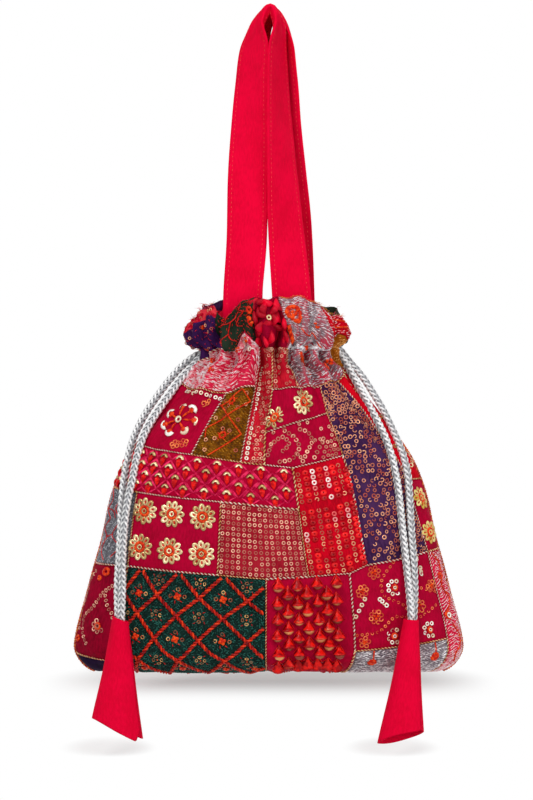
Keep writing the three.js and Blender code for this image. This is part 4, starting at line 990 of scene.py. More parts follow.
SEQUIN, SMALL_RING = ring_plate(1.5, 0.66, 0.24), ring_plate(1.3, 0.74, 0.12, 0.14)
PETAL = ring_plate(1.42, 0.34, 0.30, 0.14, sides=14, long=1.42)
KNOT, GRAIN = bead(1.0, 0.8), bead(0.55, 0.5, sides=6, rows=3)


def flower(patch, s, t, petals=10, radius=6.0, petal=1.36, start=0.3):
    """A sewn flower as parts for gold film, red thread and orange thread: petals of long
    sequins, each held by a stitch, a twisted ring of thread, and a bead and ring inside."""
    spots, angle = round_places(patch, s, t, radius, petals, start)
    gold = [lay_on(PETAL, spots, petal, turn=angle - np.pi / 2, lean=0.05, lift=0.25)]
    inner, _ = round_places(patch, s, t, radius - 1.6, petals, start)
    outer, _ = round_places(patch, s, t, radius + 0.5, petals, start)
    red = [dashes(inner[0] + inner[3] * 0.65, outer[0] + outer[3] * 0.6, spots[3], 0.8, 0.55, bow=0.15, steps=4)]
    ring, turn = round_places(patch, s, t, radius * 0.47, 14, 0.2)
    orange = [lay_on(GRAIN, ring, [2.0, 2.5, 2.2] * np.ones((14, 3)), turn=turn + 0.5, lift=0.35)]
    middle = patch.frame(np.array([s]), np.array([t]))
    gold.append(lay_on(SEQUIN, middle, 1.2, lift=0.85))
    red.append(lay_on(GRAIN, middle, 1.3, lift=0.9))
    return gold, orange, red


# Six gold flowers in two rows of three, sewn on plain crimson silk.
patch = front["six_flower"][1]
parts = [flower(patch, s, t, start=0.3 + 0.4 * k) for k, (s, t) in enumerate(
    [(0.165, 0.765), (0.51, 0.77), (0.835, 0.77), (0.145, 0.275), (0.515, 0.27), (0.84, 0.27)])]
sew_on("six_flower_petals", [part for each in parts for part in each[0]], gold_film)
sew_on("six_flower_rings", [part for each in parts for part in each[1]], orange_rayon)
sew_on("six_flower_stitches", [part for each in parts for part in each[2]], red_rayon)

# The dusty red net, with a small flat ring in every mesh.
patch = front["dusty_grid"][1]
s, t = grid_on(patch, 3.55, 3.5, margin=1.8, jitter=0.1, keep=0.98)
sew_on("dusty_grid_rings", [lay_on(SMALL_RING, patch.frame(s, t), 0.95, lean=0.06, lift=0.3)], dusty_film)

# The bright red patch: columns of ring sequins, pale pink-silver in one stretch and thin copper rings elsewhere,
# between columns of bulging red ones.
patch = front["red_column"][1]
pale, red, thin = [], [], []
for k, s in enumerate(np.linspace(0.07, 0.93, 8)):
    t = np.arange(2.4, patch.tall - 2, 3.65) / patch.tall
    t = t[(np.abs(t - 0.63) > 0.026) & (dice.random(len(t)) < 0.94)]
    spots = patch.frame(np.full(len(t), s + 0.004 * k), t)
    # In each even column one stretch gets pale pink-silver sequins and the rest thin copper rings: partly a change of
    # sequin, partly a painted highlight where the column catches the light.
    pale_and_glint_stretch = (np.abs(t - (0.36, 0, 0.86, 0, 0.74, 0, 0.5, 0)[k]) < (0.05, 0, 0.12, 0, 0.27, 0, 0.05, 0)[k])
    if k % 2 == 0:
        pale.append(lay_on(SEQUIN, [part[pale_and_glint_stretch] for part in spots], 1.12, lean=0.16, lift=0.35))
        thin.append(lay_on(SMALL_RING, [part[~pale_and_glint_stretch] for part in spots], 1.1, lean=0.16, lift=0.35))
    else:
        red.append(lay_on(ring_plate(2.1, 0.5, -1.15, 0.3, sides=12), spots, [1.12, 0.9, 1] * np.ones((len(t), 3)), lean=0.08, lift=1.35))
ruby_film = sequin_film("ruby_sequin_film", (0.46, 0.0, 0.005), (1.0, 0.012, 0.014), roughness=0.22, metallic=0.0, specular_ior_level=0.2)
sew_on("red_column_pale_rings", pale, pink_film)
sew_on("red_column_thin_rings", thin, copper_film)
sew_on("red_column_ruby_cups", red, ruby_film)

# The band of crimson satin: a lattice of magenta threads, and in each of its cells half a gold
# cup over a satin stitch shaped like a drop.
patch = front["diamond_band"][1]
s, t = grid_on(patch, 11.4, 6.4, stagger=0.5, margin=3.4)
cup_side = s > 0.03
s, t = s[cup_side], t[cup_side]
sew_on("diamond_band_cups", [lay_on(half_cup(2.75, 1.1), patch.frame(*shifted(patch, s, t, 0, 0.6)), dice.uniform(0.92, 1.1, len(s)), lean=0.07, lift=0.55)], gold_film)
drops = []
for x in np.linspace(-1, 1, 5):
    a = patch.frame(*shifted(patch, s, t, x * 1.75, 1.4 - 0.9 * abs(x)))
    b = patch.frame(*shifted(patch, s, t, x * 0.3, -4.9))
    drops.append(dashes(a[0] + a[3] * 0.7, b[0] + b[3] * 0.5, a[3], 1.15, 1.2, bow=1.0 - 0.4 * abs(x)))
sew_on("diamond_band_drops", drops, red_rayon)
wires = []
for way in (-1, 1):
    # Each thread runs over three cells of the lattice, beside the cups.
    for gap in (-0.36, 0.36):
        a = patch.frame(*shifted(patch, s, t, 5.7 * way + gap, -0.6 + 0 * t))
        b = patch.frame(*shifted(patch, s, t, gap, 5.8 + 0 * t))
        c = patch.frame(*shifted(patch, s, t, gap, -7.0 + 0 * t))
        wires.append(dashes(a[0] + a[3] * 0.4, b[0] + b[3] * 0.4, a[3], 0.58, 0.6, bow=0.5))
        wires.append(dashes(a[0] + a[3] * 0.4, c[0] + c[3] * 0.4, a[3], 0.58, 0.6, bow=0.5))
sew_on("diamond_band_lattice", wires, magenta_rayon)

# The crimson patch of rows of cones, each wrapped in red thread over the rim of a gold cup.
patch = front["red_cone_bead"][1]
row, column = np.meshgrid(np.arange(11), np.arange(7), indexing="ij")
kept = (column + row) % 2 == 0
s = 0.5 + ((column[kept] - 3) * 6.4 - 1.6) / patch.wide + dice.normal(0, 0.25, kept.sum()) / patch.wide
share = np.linspace(0.1, 1, 200)
levels = patch.at(np.full(200, 0.5), share)[:, 2]
t = np.interp(levels[-1] - np.minimum(3.8 + 5.53 * row[kept], 54.5) + dice.normal(0, 0.3, kept.sum()), levels, share)


def bell(top=0.5, foot=4.0, long=6.3, sides=14, rows=8):
    """A thread-wrapped bell that lies on the cloth with its tip up: an oval that widens as
    top + (foot - top) share^2.1, and whose foot turns back under its rim."""
    share = np.linspace(0, 1, rows)[:, None]
    around = np.linspace(0, 2 * np.pi, sides, endpoint=False)
    wide = np.append(top + (foot - top) * share[:, 0] ** 1.9, foot * 0.72)[:, None]
    down = np.append(long * share[:, 0], long + 0.25)[:, None]
    x = wide * np.cos(around)
    z = 0.5 + 0.62 * wide * (1 + np.sin(around)) + 0 * down
    y = 4.0 - down - 0.55 * (wide / foot) ** 2 * np.sin(around)
    return np.stack([x, y, z], -1).reshape(-1, 3), tube_faces(rows + 1, sides)


def cup_under(radius=3.3, sides=14, rows=5):
    """Half a round cup that hangs under a bell: rings that close towards its lowest point."""
    angle = np.linspace(0.12, np.pi / 2 * 0.93, rows)[:, None]
    around = np.linspace(0, 2 * np.pi, sides, endpoint=False)
    x = radius * np.cos(angle) * np.cos(around)
    z = 0.4 + 0.62 * radius * (1 + np.cos(angle) * np.sin(around))
    y = -1.9 - 0.95 * radius * np.sin(angle) + 0 * x
    return np.stack([x, y, z], -1).reshape(-1, 3), tube_faces(rows, sides)


cone_thread = thread("cone_thread", (0.36, 0.0, 0.003), (0.86, 0.010, 0.006), roughness=0.24, scale=330.0)
spots = patch.frame(s, t)
sew_on("cone_bells", [lay_on(bell(), spots, dice.uniform(0.98, 1.12, len(s)), lean=0.05, lift=0.1)], cone_thread)
rust_film = sequin_film("rust_gold_film", (0.26, 0.035, 0.012), (0.80, 0.34, 0.11), roughness=0.25, metallic=0.4)
sew_on("cone_gold_cups", [lay_on(cup_under(), spots, dice.uniform(0.95, 1.1, len(s)), lean=0.05, lift=0.1)], rust_film)
sides_ = []
for x, y in ((-1, 0), (1, 0), (-0.75, 1.6), (0.75, 1.6)):
    a = patch.frame(*shifted(patch, s, t, x * 0.6, 3.4))
    b = patch.frame(*shifted(patch, s, t, x * 4.1, -2.0 + y))
    sides_.append(dashes(a[0] + a[3] * 0.6, b[0] + b[3] * 0.3, a[3], 0.6, 0.55, bow=0.5))
sew_on("cone_side_stitches", sides_, red_rayon)

# Dark green cotton, darned all over with short green stitches, under a lattice of twisted
# orange cord with a knotted flower or a cross of rings in each diamond.
patch = front["green_lattice"][1]
bottle_thread = thread("bottle_green_thread", (0.004, 0.016, 0.014), (0.022, 0.14, 0.11), roughness=0.6)


def darning(patch, long=2.4, pitch=0.85, turn=0.0, keep=0.92, thick=0.62, unruly=0.12, lift=0.35, wave=0.0, below=1.0, steps=4):
    """Rows of short stitches laid like bricks: each starts where chance puts it along its row,
    and turns a little from the row's direction. Wave bends the rows, once in 11 mm."""
    s, t = grid_on(patch, long * 1.04, pitch, stagger=0.5, margin=0.9, jitter=long * 0.09, keep=keep)
    s, t = s[t < below], t[t < below]
    bend = wave * np.sin(2 * np.pi * s * patch.wide / 11 + 1.3 * np.sin(t * patch.tall / 6))
    angle = turn + bend + dice.normal(0, unruly, len(s))
    reach = long * dice.uniform(0.75, 1.1, len(s)) / 2
    a = patch.frame(*shifted(patch, s, t, -reach * np.cos(angle), -reach * np.sin(angle)))
    b = patch.frame(*shifted(patch, s, t, reach * np.cos(angle), reach * np.sin(angle)))
    return dashes(a[0] + a[3] * lift, b[0] + b[3] * lift, a[3], thick, thick, bow=0.22, sides=4, steps=steps)


sew_on("green_darning", [darning(patch, 2.4, 1.05, unruly=1.0, keep=0.85, thick=0.75)], bottle_thread)
lattice_cord = two_tone(
    "lattice_cord", ((0.55, 0.006, 0.003), (0.95, 0.055, 0.006)), ((0.20, 0.0, 0.003), (0.55, 0.010, 0.004)), roughness=0.34)
levels = [1.0, 0.83, 0.695, 0.53, 0.345, 0.10]
cords = []
for start in range(-5, 7):
    for way in (1, -1):
        # Each cord goes from node to node, half a diamond across at every level.
        line = np.array([((0.445 if row % 2 == 0 else 0.445 - 0.148) + 0.2965 * start + way * 0.148 * row + (0 if row % 2 == 0 else 0.148), level)
                         for row, level in enumerate(levels)])
        k = np.linspace(0, len(line) - 1, 240)
        line = np.stack([np.interp(k, np.arange(len(line)), column) for column in line.T], -1)
        line = line[(line[:, 0] > 0.015) & (line[:, 0] < 0.985) & (line[:, 1] < 0.985)]
        if len(line) > 8:
            cords.append(twisted(line_on(patch.frame, line, lift=0.95, step=0.55), 0.72, 0.66, 5.2))
sew_on("green_lattice_cords", cords, lattice_cord)

# In each diamond of the lattice lies a knotted flower with a ring at each side, or a cross of
# four rings round a stitch.
orange, rings, tips = [], [], []
knots = [(s, t) for t in (0.83, 0.53) for s in (0.148, 0.445, 0.742)] + [(s, 0.22) for s in (0.148, 0.445, 0.742, 0.93)]
crosses = [(s, t) for t in (0.69, 0.345) for s in (0.30, 0.595, 0.885)] + [(s, 0.93) for s in (0.30, 0.595, 0.885)]
crosses += [(0.03, 0.69), (0.03, 0.36), (0.3, 0.1), (0.6, 0.1)]
for s, t in knots:
    spots, angle = round_places(patch, s, t, 1.25, 4, 0.4)
    orange.append(lay_on(KNOT, spots, [1.5, 1.25, 1.3] * np.ones((4, 3)), turn=angle, lift=0.6))
    orange.append(lay_on(KNOT, patch.frame(np.array([s]), np.array([t])), 0.8, lift=1.5))
    outer, angle = round_places(patch, s, t, 4.6, 4, np.pi / 2)
    rings.append(lay_on(SMALL_RING, [part[[0, 1, 3]] for part in outer], 1.05, lean=0.1, lift=0.5))
    far, angle = round_places(patch, s, t, 5.2, 6, 0.25)
    near, angle = round_places(patch, s, t, 3.0, 6, 0.0)
    tips.append(dashes(near[0] + near[3] * 0.5, far[0] + far[3] * 0.5, near[3], 0.55, 0.5, bow=0.2))
for s, t in crosses:
    outer, angle = round_places(patch, s, t, 2.6, 4, 0.0)
    rings.append(lay_on(SMALL_RING, outer, [0.78, 1.1, 1.0] * np.ones((4, 3)), turn=angle, lean=0.1, lift=0.5))
    orange.append(lay_on(GRAIN, patch.frame(np.array([s]), np.array([t])), 1.1, lift=0.5))
    far, angle = round_places(patch, s, t, 5.6, 4, np.pi / 4)
    near, angle = round_places(patch, s, t, 3.8, 4, np.pi / 4 + 0.2)
    tips.append(dashes(near[0] + near[3] * 0.5, far[0] + far[3] * 0.5, near[3], 0.5, 0.5, bow=0.2))
sew_on("green_flower_knots", orange, orange_rayon)
sew_on("green_flower_tips", tips, red_rayon)
sew_on("green_flower_rings", rings, sequin_film("old_gold_ring_film", (0.22, 0.05, 0.015), (0.80, 0.42, 0.14)))

# Dark red silk with one flower of seven half cups: each stands at the end of a satin petal, round
# a ring, and small orange knots lie in the corners.
patch = front["sequin_flower"][1]
white_film = sequin_film("pale_gold_sequin_film", (0.82, 0.64, 0.44), (1.0, 0.97, 0.90), roughness=0.3, metallic=0.3)
centre = (0.66, 0.50)
spots, angle = round_places(patch, *centre, 9.4, 7, 0.15)
stems = []
for x in (-0.55, 0, 0.55):
    inner, _ = round_places(patch, *centre, 2.0, 7, 0.15)
    outer, _ = round_places(patch, *centre, 8.7, 7, 0.15 + 0.09 * x)
    stems.append(dashes(inner[0] + inner[3] * 0.5, outer[0] + outer[3] * 0.5, inner[3], 1.0, 0.9, bow=0.9 - abs(x)))
sew_on("big_flower_cups", [
    lay_on(half_cup(3.5, 1.3, deep=0.4), spots, turn=angle - np.pi / 2, lean=0.1, lift=0.5),
    lay_on(SEQUIN, patch.frame(np.array([centre[0]]), np.array([centre[1]])), 1.6, lift=0.8),
], white_film)
satin = [lay_on(KNOT, spots, [2.1, 2.2, 1.1] * np.ones((7, 3)), turn=angle, lift=0.4)]
corner_knots = []
for s, t in ((0.84, 0.82), (0.87, 0.16), (0.80, 0.12)):
    around, turn = round_places(patch, s, t, 1.9, 5, s)
    corner_knots.append(lay_on(SMALL_RING, around, 1.2, lean=0.15, lift=0.4))
sew_on("big_flower_satin", stems + satin, orange_rayon)
sew_on("corner_orange_rings", corner_knots, flame_film)
edge = along_line(patch, [(0.35, 0.95), (0.6, 0.94), (0.85, 0.93), (0.97, 0.9)], 3.0)
sew_on("yoke_edge_rings", [lay_on(SEQUIN, edge, 0.95, lean=0.2)], white_film)

# Two gold flowers on the crimson patch at the front of the neck, one of them cut by its seam.
patch = front["gold_flower"][1]
parts = [flower(patch, 0.53, 0.56, petals=10, radius=6.2, petal=1.4), flower(patch, 0.1, 0.3, petals=7, radius=4.8, petal=1.1)]
sew_on("neck_flower_petals", [part for each in parts for part in each[0]], gold_film)
sew_on("neck_flower_rings", [part for each in parts for part in each[1]], orange_rayon)
sew_on("neck_flower_stitches", [part for each in parts for part in each[2]], red_rayon)

# The side patch with two yellow-gold flowers, one above the other.
patch = front["yellow_flower"][1]
parts = [flower(patch, 0.36, 0.73, petals=9, radius=5.0, petal=1.3), flower(patch, 0.34, 0.25, petals=9, radius=5.0, petal=1.3)]
yellow_film = sequin_film("yellow_gold_sequin_film", (0.70, 0.42, 0.05), (0.98, 0.80, 0.30), roughness=0.35, metallic=0.25)
sew_on("side_flower_petals", [part for each in parts for part in each[0]], yellow_film)
sew_on("side_flower_rings", [part for each in parts for part in each[1]], orange_rayon)
sew_on("side_flower_stitches", [part for each in parts for part in each[2]], red_rayon)

# Olive gold cloth, hatched with short dark and gold stitches, with a lattice of thin orange
# thread and an orange flower in each diamond.
patch = front["mustard_lozenge"][1]
olive_thread = thread("olive_gold_thread", (0.06, 0.018, 0.002), (0.52, 0.22, 0.010), roughness=0.42, scale=300.0)
sew_on("olive_hatching", [darning(patch, 2.2, 1.05, turn=-0.25, unruly=0.15, keep=0.95, thick=0.6)], olive_thread)
lines = []
for run in ([(0.02, 0.42), (0.45, 0.62), (0.93, 0.80)], [(0.45, 0.62), (0.9, 0.36)], [(0.9, 0.36), (0.35, 0.03)],
            [(0.02, 0.42), (0.12, 0.28)], [(0.93, 0.80), (0.62, 0.97)], [(0.62, 0.97), (0.1, 0.78)], [(0.45, 0.62), (0.05, 0.8)]):
    lines.append(twisted(line_on(patch.frame, run, lift=0.75), 0.36, 0.3, 2.6))
for s, t in ((0.5, 0.33), (0.42, 0.82)):
    spots, angle = round_places(patch, s, t, 1.9, 6)
    lines.append(lay_on(KNOT, spots, [1.3, 0.9, 1.0] * np.ones((6, 3)), turn=angle + np.pi / 2, lift=0.6))
    outer, angle = round_places(patch, s, t, 4.4, 5, 0.4)
    inner, _ = round_places(patch, s, t, 2.8, 5, 0.1)
    lines.append(dashes(inner[0] + inner[3] * 0.7, outer[0] + outer[3] * 0.6, inner[3], 0.6, 0.6, bow=0.3))
sew_on("olive_lozenges", lines, orange_rayon)
s, t = grid_on(patch, 5.5, 7.5, stagger=0.5, jitter=0.9, keep=0.6)
sew_on("olive_rings", [lay_on(SMALL_RING, patch.frame(s, t), 1.05, lean=0.15, lift=0.6)], copper_film)

# Purple silk strewn with small copper rings, in loose rows below and in curls above.
patch = front["purple_ring"][1]
s, t = grid_on(patch, 3.5, 3.2, stagger=0.5, margin=1.6, jitter=0.5, keep=0.88)
sew_on("purple_copper_rings", [lay_on(SMALL_RING, patch.frame(s, t), dice.uniform(0.95, 1.2, len(s)), lean=0.22, lift=0.4)], copper_film)

# Crimson silk with gold rings sewn in curls, and a corner filled with them.
patch = front["curl_sequin"][1]
curls = [
    [(0.04, 0.3), (0.1, 0.62), (0.22, 0.75), (0.3, 0.55), (0.22, 0.4)],
    [(0.18, 0.12), (0.32, 0.2), (0.42, 0.42), (0.36, 0.7), (0.26, 0.88)],
    [(0.45, 0.1), (0.52, 0.3), (0.6, 0.5), (0.56, 0.72), (0.46, 0.82)],
    [(0.6, 0.12), (0.68, 0.3), (0.75, 0.42)],
]
rings = [lay_on(SMALL_RING, along_line(patch, line, 2.7), 1.1, lean=0.2) for line in curls]
s, t = grid_on(patch, 3.3, 3.0, stagger=0.5, margin=1.6, jitter=0.3)
filled = ((s > 0.72) & (t < 1.1 - 0.75 * s + 0.35 * (s > 0.9))) | (dice.random(len(s)) < 0.12)
rings.append(lay_on(SEQUIN, patch.frame(s[filled], t[filled]), 0.85, lean=0.2))
sew_on("curl_gold_rings", rings, dusty_film)

# The narrow dusty rose strip under the middle of the neck, with a line of pale rings down its
# left seam and a net of faint ones, and the small trapezoid beside it.
patch = front["rose_strip"][1]
sew_on("strip_edge_rings", [lay_on(SEQUIN, along_line(patch, [(0.22, 0.04), (0.2, 0.3), (0.2, 0.62), (0.25, 0.8)], 3.1), 0.92, lean=0.15)], white_film)
s, t = grid_on(patch, 3.0, 2.9, stagger=0.5, margin=1.0, jitter=0.3, keep=0.8)
faint = s > 0.42
rings = [lay_on(SMALL_RING, patch.frame(s[faint], t[faint]), 0.9, lean=0.2, lift=0.3)]
patch = front["throat_sequin"][1]
rings.append(lay_on(SMALL_RING, along_line(patch, [(0.12, 0.05), (0.1, 0.4), (0.12, 0.75)], 2.9), 1.1, lean=0.15))
rings.append(lay_on(SEQUIN, along_line(patch, [(0.35, 0.3), (0.42, 0.6), (0.38, 0.75)], 3.0), 0.95, lean=0.2))
s, t = grid_on(patch, 2.9, 2.8, stagger=0.5, margin=1.0, jitter=0.3, keep=0.6)
faint = s > 0.5
rings.append(lay_on(SMALL_RING, patch.frame(s[faint], t[faint]), 0.85, lean=0.2, lift=0.3))
sew_on("strip_faint_rings", rings, dusty_film)

# Silver brocade: grey metal thread darned in wavy rows over crimson, with orange flowers and
# buds in thick satin thread. One piece runs up into the heading, another along the hem.
patch = front["silver_yoke"][1]
sew_on("silver_yoke_darning", [darning(patch, 3.4, 0.82, turn=0.1, unruly=0.08, keep=0.96, thick=0.52, wave=0.28),
    darning(patch, 3.4, 0.9, turn=0.1, unruly=0.08, keep=0.8, thick=0.6, lift=0.6, wave=0.28, below=0.5)], silver_zari)
blooms = []


def bloom(patch, s, t, radius, petals, fat=1.0, start=0.0):
    """A ring of fat satin petals round an open middle."""
    spots, angle = round_places(patch, s, t, radius, petals, start)
    return lay_on(KNOT, spots, [1.9 * fat, 1.15 * fat, 1.25] * np.ones((petals, 3)), turn=angle + np.pi / 2, lean=0.1, lift=0.55)


blooms += [bloom(patch, 0.22, 0.83, 4.5, 9, 1.4), bloom(patch, 0.22, 0.83, 1.5, 3, 1.0)]
blooms += [bloom(patch, 0.53, 0.11, 2.4, 5), bloom(patch, 0.8, 0.12, 1.4, 3), bloom(patch, 0.66, 0.78, 1.4, 3, 0.7)]
for run in ([(0.05, 0.68), (0.055, 0.58), (0.075, 0.49)], [(0.22, 0.27), (0.25, 0.2), (0.33, 0.1)], [(0.4, 0.46), (0.43, 0.38), (0.46, 0.3)]):
    blooms += [twisted(line_on(patch.frame, run, lift=0.8, curved=True), 1.0, 0.55, 6.0)]
blooms += [twisted(line_on(patch.frame, [(0.3, 0.72), (0.42, 0.66), (0.55, 0.7), (0.7, 0.62)], lift=0.6, curved=True), 0.3, 0.24, 2.4)]
patch = front["silver_band"][1]
sew_on("silver_band_darning", [darning(patch, 3.0, 0.92, turn=0.0, unruly=0.1, keep=0.98, thick=0.66, wave=0.3)], silver_zari)
for s, t in ((0.165, 0.68), (0.8, 0.74), (0.48, 0.6)):
    blooms += [bloom(patch, s, t, 1.9, 5), bloom(patch, s, t, 0.6, 2, 0.8)]
    blooms += [twisted(line_on(patch.frame, [(s, t + 0.06), (s - 0.01, 0.98)], lift=0.6), 0.4, 0.3, 2.6)]
sew_on("silver_brocade_blooms", blooms, orange_rayon)

# Rose brocade: pink-white metal thread in wavy rows, on the left yoke and down the right side.
patch = front["rose_yoke"][1]
sew_on("rose_yoke_darning", [darning(patch, 3.4, 0.80, turn=-0.12, unruly=0.1, keep=0.93, thick=0.5, wave=0.3),
    darning(patch, 3.4, 1.1, turn=-0.12, unruly=0.1, keep=0.8, thick=0.6, lift=0.6, wave=0.3, below=0.72)], rose_zari)
rings = [lay_on(SEQUIN, patch.frame(np.array([0.385, 0.62, 0.835, 0.395, 0.9]), np.array([0.66, 0.5, 0.57, 0.34, 0.3])), 1.25, lean=0.2, lift=0.6)]
buds = [bloom(patch, s, t, 1.1, 3, 0.7) for s, t in ((0.3, 0.8), (0.74, 0.7), (0.55, 0.35), (0.9, 0.75))]
patch = front["rose_side"][1]
sew_on("rose_side_darning", [darning(patch, 3.0, 0.85, turn=0.1, unruly=0.15, keep=0.94, thick=0.55, wave=0.5)], pale_zari)
buds += [bloom(patch, 0.2, 0.6, 2.0, 5), bloom(patch, 0.3, 0.84, 1.5, 4)]
buds += [twisted(line_on(patch.frame, run, lift=0.6, curved=True), 0.4, 0.32, 2.8) for run in (
    [(0.15, 0.98), (0.5, 0.9), (0.25, 0.78), (0.5, 0.7), (0.2, 0.62)], [(0.3, 0.55), (0.6, 0.45), (0.3, 0.35), (0.5, 0.25)])]
rings.append(lay_on(SEQUIN, patch.frame(np.array([0.2]), np.array([0.6])), 1.3, lift=1.2))
sew_on("rose_brocade_rings", rings, white_film)
sew_on("rose_brocade_buds", buds, orange_rayon)

# Crimson silk at the lower right, with orange flowers of rings, short lines of pale sequins and
# dotted gold lines between them.
patch = front["crimson_spray"][1]
pale, orange, gold = [], [], []
for s, t, radius, count in ((0.235, 0.90, 3.2, 6), (0.1, 0.72, 3.0, 7), (0.2, 0.38, 3.6, 8), (0.66, 0.43, 3.3, 7), (0.08, 0.1, 2.6, 5), (0.9, 0.62, 3.0, 6)):
    spots, angle = round_places(patch, s, t, radius, count, s)
    orange.append(lay_on(SMALL_RING, spots, 1.2, lean=0.15, lift=0.4))
    spots, angle = round_places(patch, s, t, radius * 0.35, 3, t)
    gold.append(lay_on(KNOT, spots, 0.9, lift=0.4))
for s, t in ((0.42, 0.69), (0.345, 0.13), (0.75, 0.14)):
    gold += [bloom(patch, s, t, 1.5, 5, 0.75)]
    spots, angle = round_places(patch, s, t, 4.3, 8, 0.3)
    pale.append(lay_on(SEQUIN, [part[1:7] for part in spots], 0.95, lean=0.25, lift=0.4))
    pale.append(lay_on(SEQUIN, patch.frame(np.array([s]), np.array([t])), 0.8, lift=1.2))
for line in ([(0.02, 0.44), (0.06, 0.52), (0.115, 0.62)], [(0.255, 0.58), (0.31, 0.5)], [(0.79, 0.85), (0.78, 0.78)], [(0.76, 0.95), (0.77, 0.97)]):
    pale.append(lay_on(SEQUIN, along_line(patch, line, 2.9), 1.0, lean=0.2))
for line in ([(0.45, 0.98), (0.3, 0.8), (0.3, 0.62), (0.5, 0.45), (0.55, 0.25)], [(0.02, 0.2), (0.2, 0.2), (0.38, 0.35), (0.6, 0.3), (0.9, 0.4)],
             [(0.6, 0.9), (0.62, 0.7), (0.8, 0.6), (0.95, 0.55)]):
    orange.append(lay_on(SMALL_RING, along_line(patch, line, 3.1), 0.8, lean=0.2))
sew_on("spray_pale_sequins", pale, white_film)
sew_on("spray_orange_rings", orange, flame_film)
sew_on("spray_knots", gold, orange_rayon)

# Dark wine silk on the left, with chains of small gold loops that curl down to an orange
# flower, and the slate cloth above it with red vines over fine grey stitching.
patch = front["wine_flower"][1]
chains = [
    [(0.8, 0.8), (0.62, 0.7), (0.49, 0.56), (0.3, 0.43), (0.33, 0.3), (0.5, 0.2)],
    [(0.71, 0.7), (0.79, 0.6), (0.88, 0.54), (0.93, 0.42)],
    [(0.3, 0.92), (0.18, 0.8), (0.22, 0.65), (0.1, 0.5), (0.15, 0.3)],
]
gold = [lay_on(SMALL_RING, along_line(patch, line, 2.5), [0.8, 1.1, 1.0] * np.ones((len(along_line(patch, line, 2.5)[0]), 3)), lean=0.15) for line in chains]
spots, angle = round_places(patch, 0.68, 0.4, 3.6, 7, 0.3)
gold.append(lay_on(SMALL_RING, [part[2:] for part in spots], 1.25, lean=0.2))
gold.append(lay_on(SEQUIN, patch.frame(np.array([0.68]), np.array([0.4])), 1.15, lift=1.1))
blooms = [bloom(patch, 0.68, 0.4, 1.7, 6, 0.85), bloom(patch, 0.63, 0.93, 2.0, 6), bloom(patch, 0.5, 0.86, 1.0, 3, 0.8), bloom(patch, 0.2, 0.2, 1.4, 4, 0.8)]
sew_on("wine_gold_chains", gold, dusty_film)
patch = front["slate_vine"][1]
sew_on("slate_darning", [darning(patch, 2.0, 1.0, turn=0.5, unruly=0.9, keep=0.9, thick=0.5)], thread("slate_thread", (0.20, 0.20, 0.23), (0.72, 0.74, 0.80)))
vines = [twisted(line_on(patch.frame, run, lift=0.6, curved=True), 0.24, 0.2, 2.2) for run in (
    [(0.2, 0.98), (0.35, 0.85), (0.2, 0.72), (0.4, 0.6), (0.22, 0.48), (0.42, 0.36), (0.3, 0.2), (0.5, 0.05)],
    [(0.7, 0.9), (0.55, 0.75), (0.75, 0.6), (0.6, 0.4), (0.8, 0.25), (0.65, 0.1)],
    [(0.2, 0.72), (0.5, 0.7), (0.6, 0.62)], [(0.42, 0.36), (0.6, 0.4)])]
sew_on("slate_vines", vines, red_rayon)
sew_on("wine_blooms", blooms, orange_rayon)

# The plain bright strip beside the purple, with arcs of gold rings, and the heading patches: moss
# green and purple with orange flowers, and mustard at the right.
patch = front["bright_side"][1]
rings = [lay_on(SMALL_RING, along_line(patch, line, 2.6), 1.15, lean=0.2) for line in (
    [(0.25, 0.97), (0.5, 0.93), (0.75, 0.97)], [(0.3, 0.9), (0.6, 0.82), (0.75, 0.74), (0.5, 0.7)],
    [(0.2, 0.62), (0.55, 0.58), (0.8, 0.5), (0.5, 0.42)], [(0.2, 0.32), (0.5, 0.28), (0.75, 0.2), (0.4, 0.1)])]
sew_on("bright_side_rings", rings, gold_film)
patch = front["mossy_ruffle"][1]
blooms = [bloom(patch, 0.89, 0.70, 1.6, 5, 0.9), bloom(patch, 0.9, 0.44, 1.7, 5, 0.9), bloom(patch, 0.2, 0.3, 1.1, 4, 0.6)]
vines = [twisted(line_on(patch.frame, run, lift=0.5, curved=True), 0.24, 0.2, 2.2) for run in (
    [(0.88, 0.98), (0.85, 0.84)], [(0.86, 0.6), (0.8, 0.5)], [(0.66, 0.95), (0.6, 0.75), (0.7, 0.62), (0.55, 0.4), (0.66, 0.2)],
    [(0.05, 0.62), (0.25, 0.66), (0.45, 0.58), (0.6, 0.7)], [(0.25, 0.66), (0.3, 0.85)], [(0.45, 0.58), (0.42, 0.4), (0.5, 0.1)],
    [(0.12, 0.9), (0.3, 0.85), (0.42, 0.95)], [(0.1, 0.2), (0.3, 0.4), (0.42, 0.4)])]
vines.append(darning(patch, 1.7, 3.4, unruly=1.3, keep=0.6, thick=0.4))
patch = front["purple_ruffle"][1]
blooms += [bloom(patch, 0.44, 0.06, 1.7, 6, 0.9), bloom(patch, 0.62, 0.5, 0.9, 3, 0.6)]
vines.append(darning(patch, 1.5, 3.6, unruly=1.3, keep=0.5, thick=0.4))
sew_on("heading_red_vines", vines, red_rayon)
s, t = grid_on(patch, 5.2, 5.0, stagger=0.5, jitter=1.1, keep=0.45)
sew_on("heading_copper_rings", [lay_on(SMALL_RING, patch.frame(s, t), 0.85, lean=0.2)], copper_film)
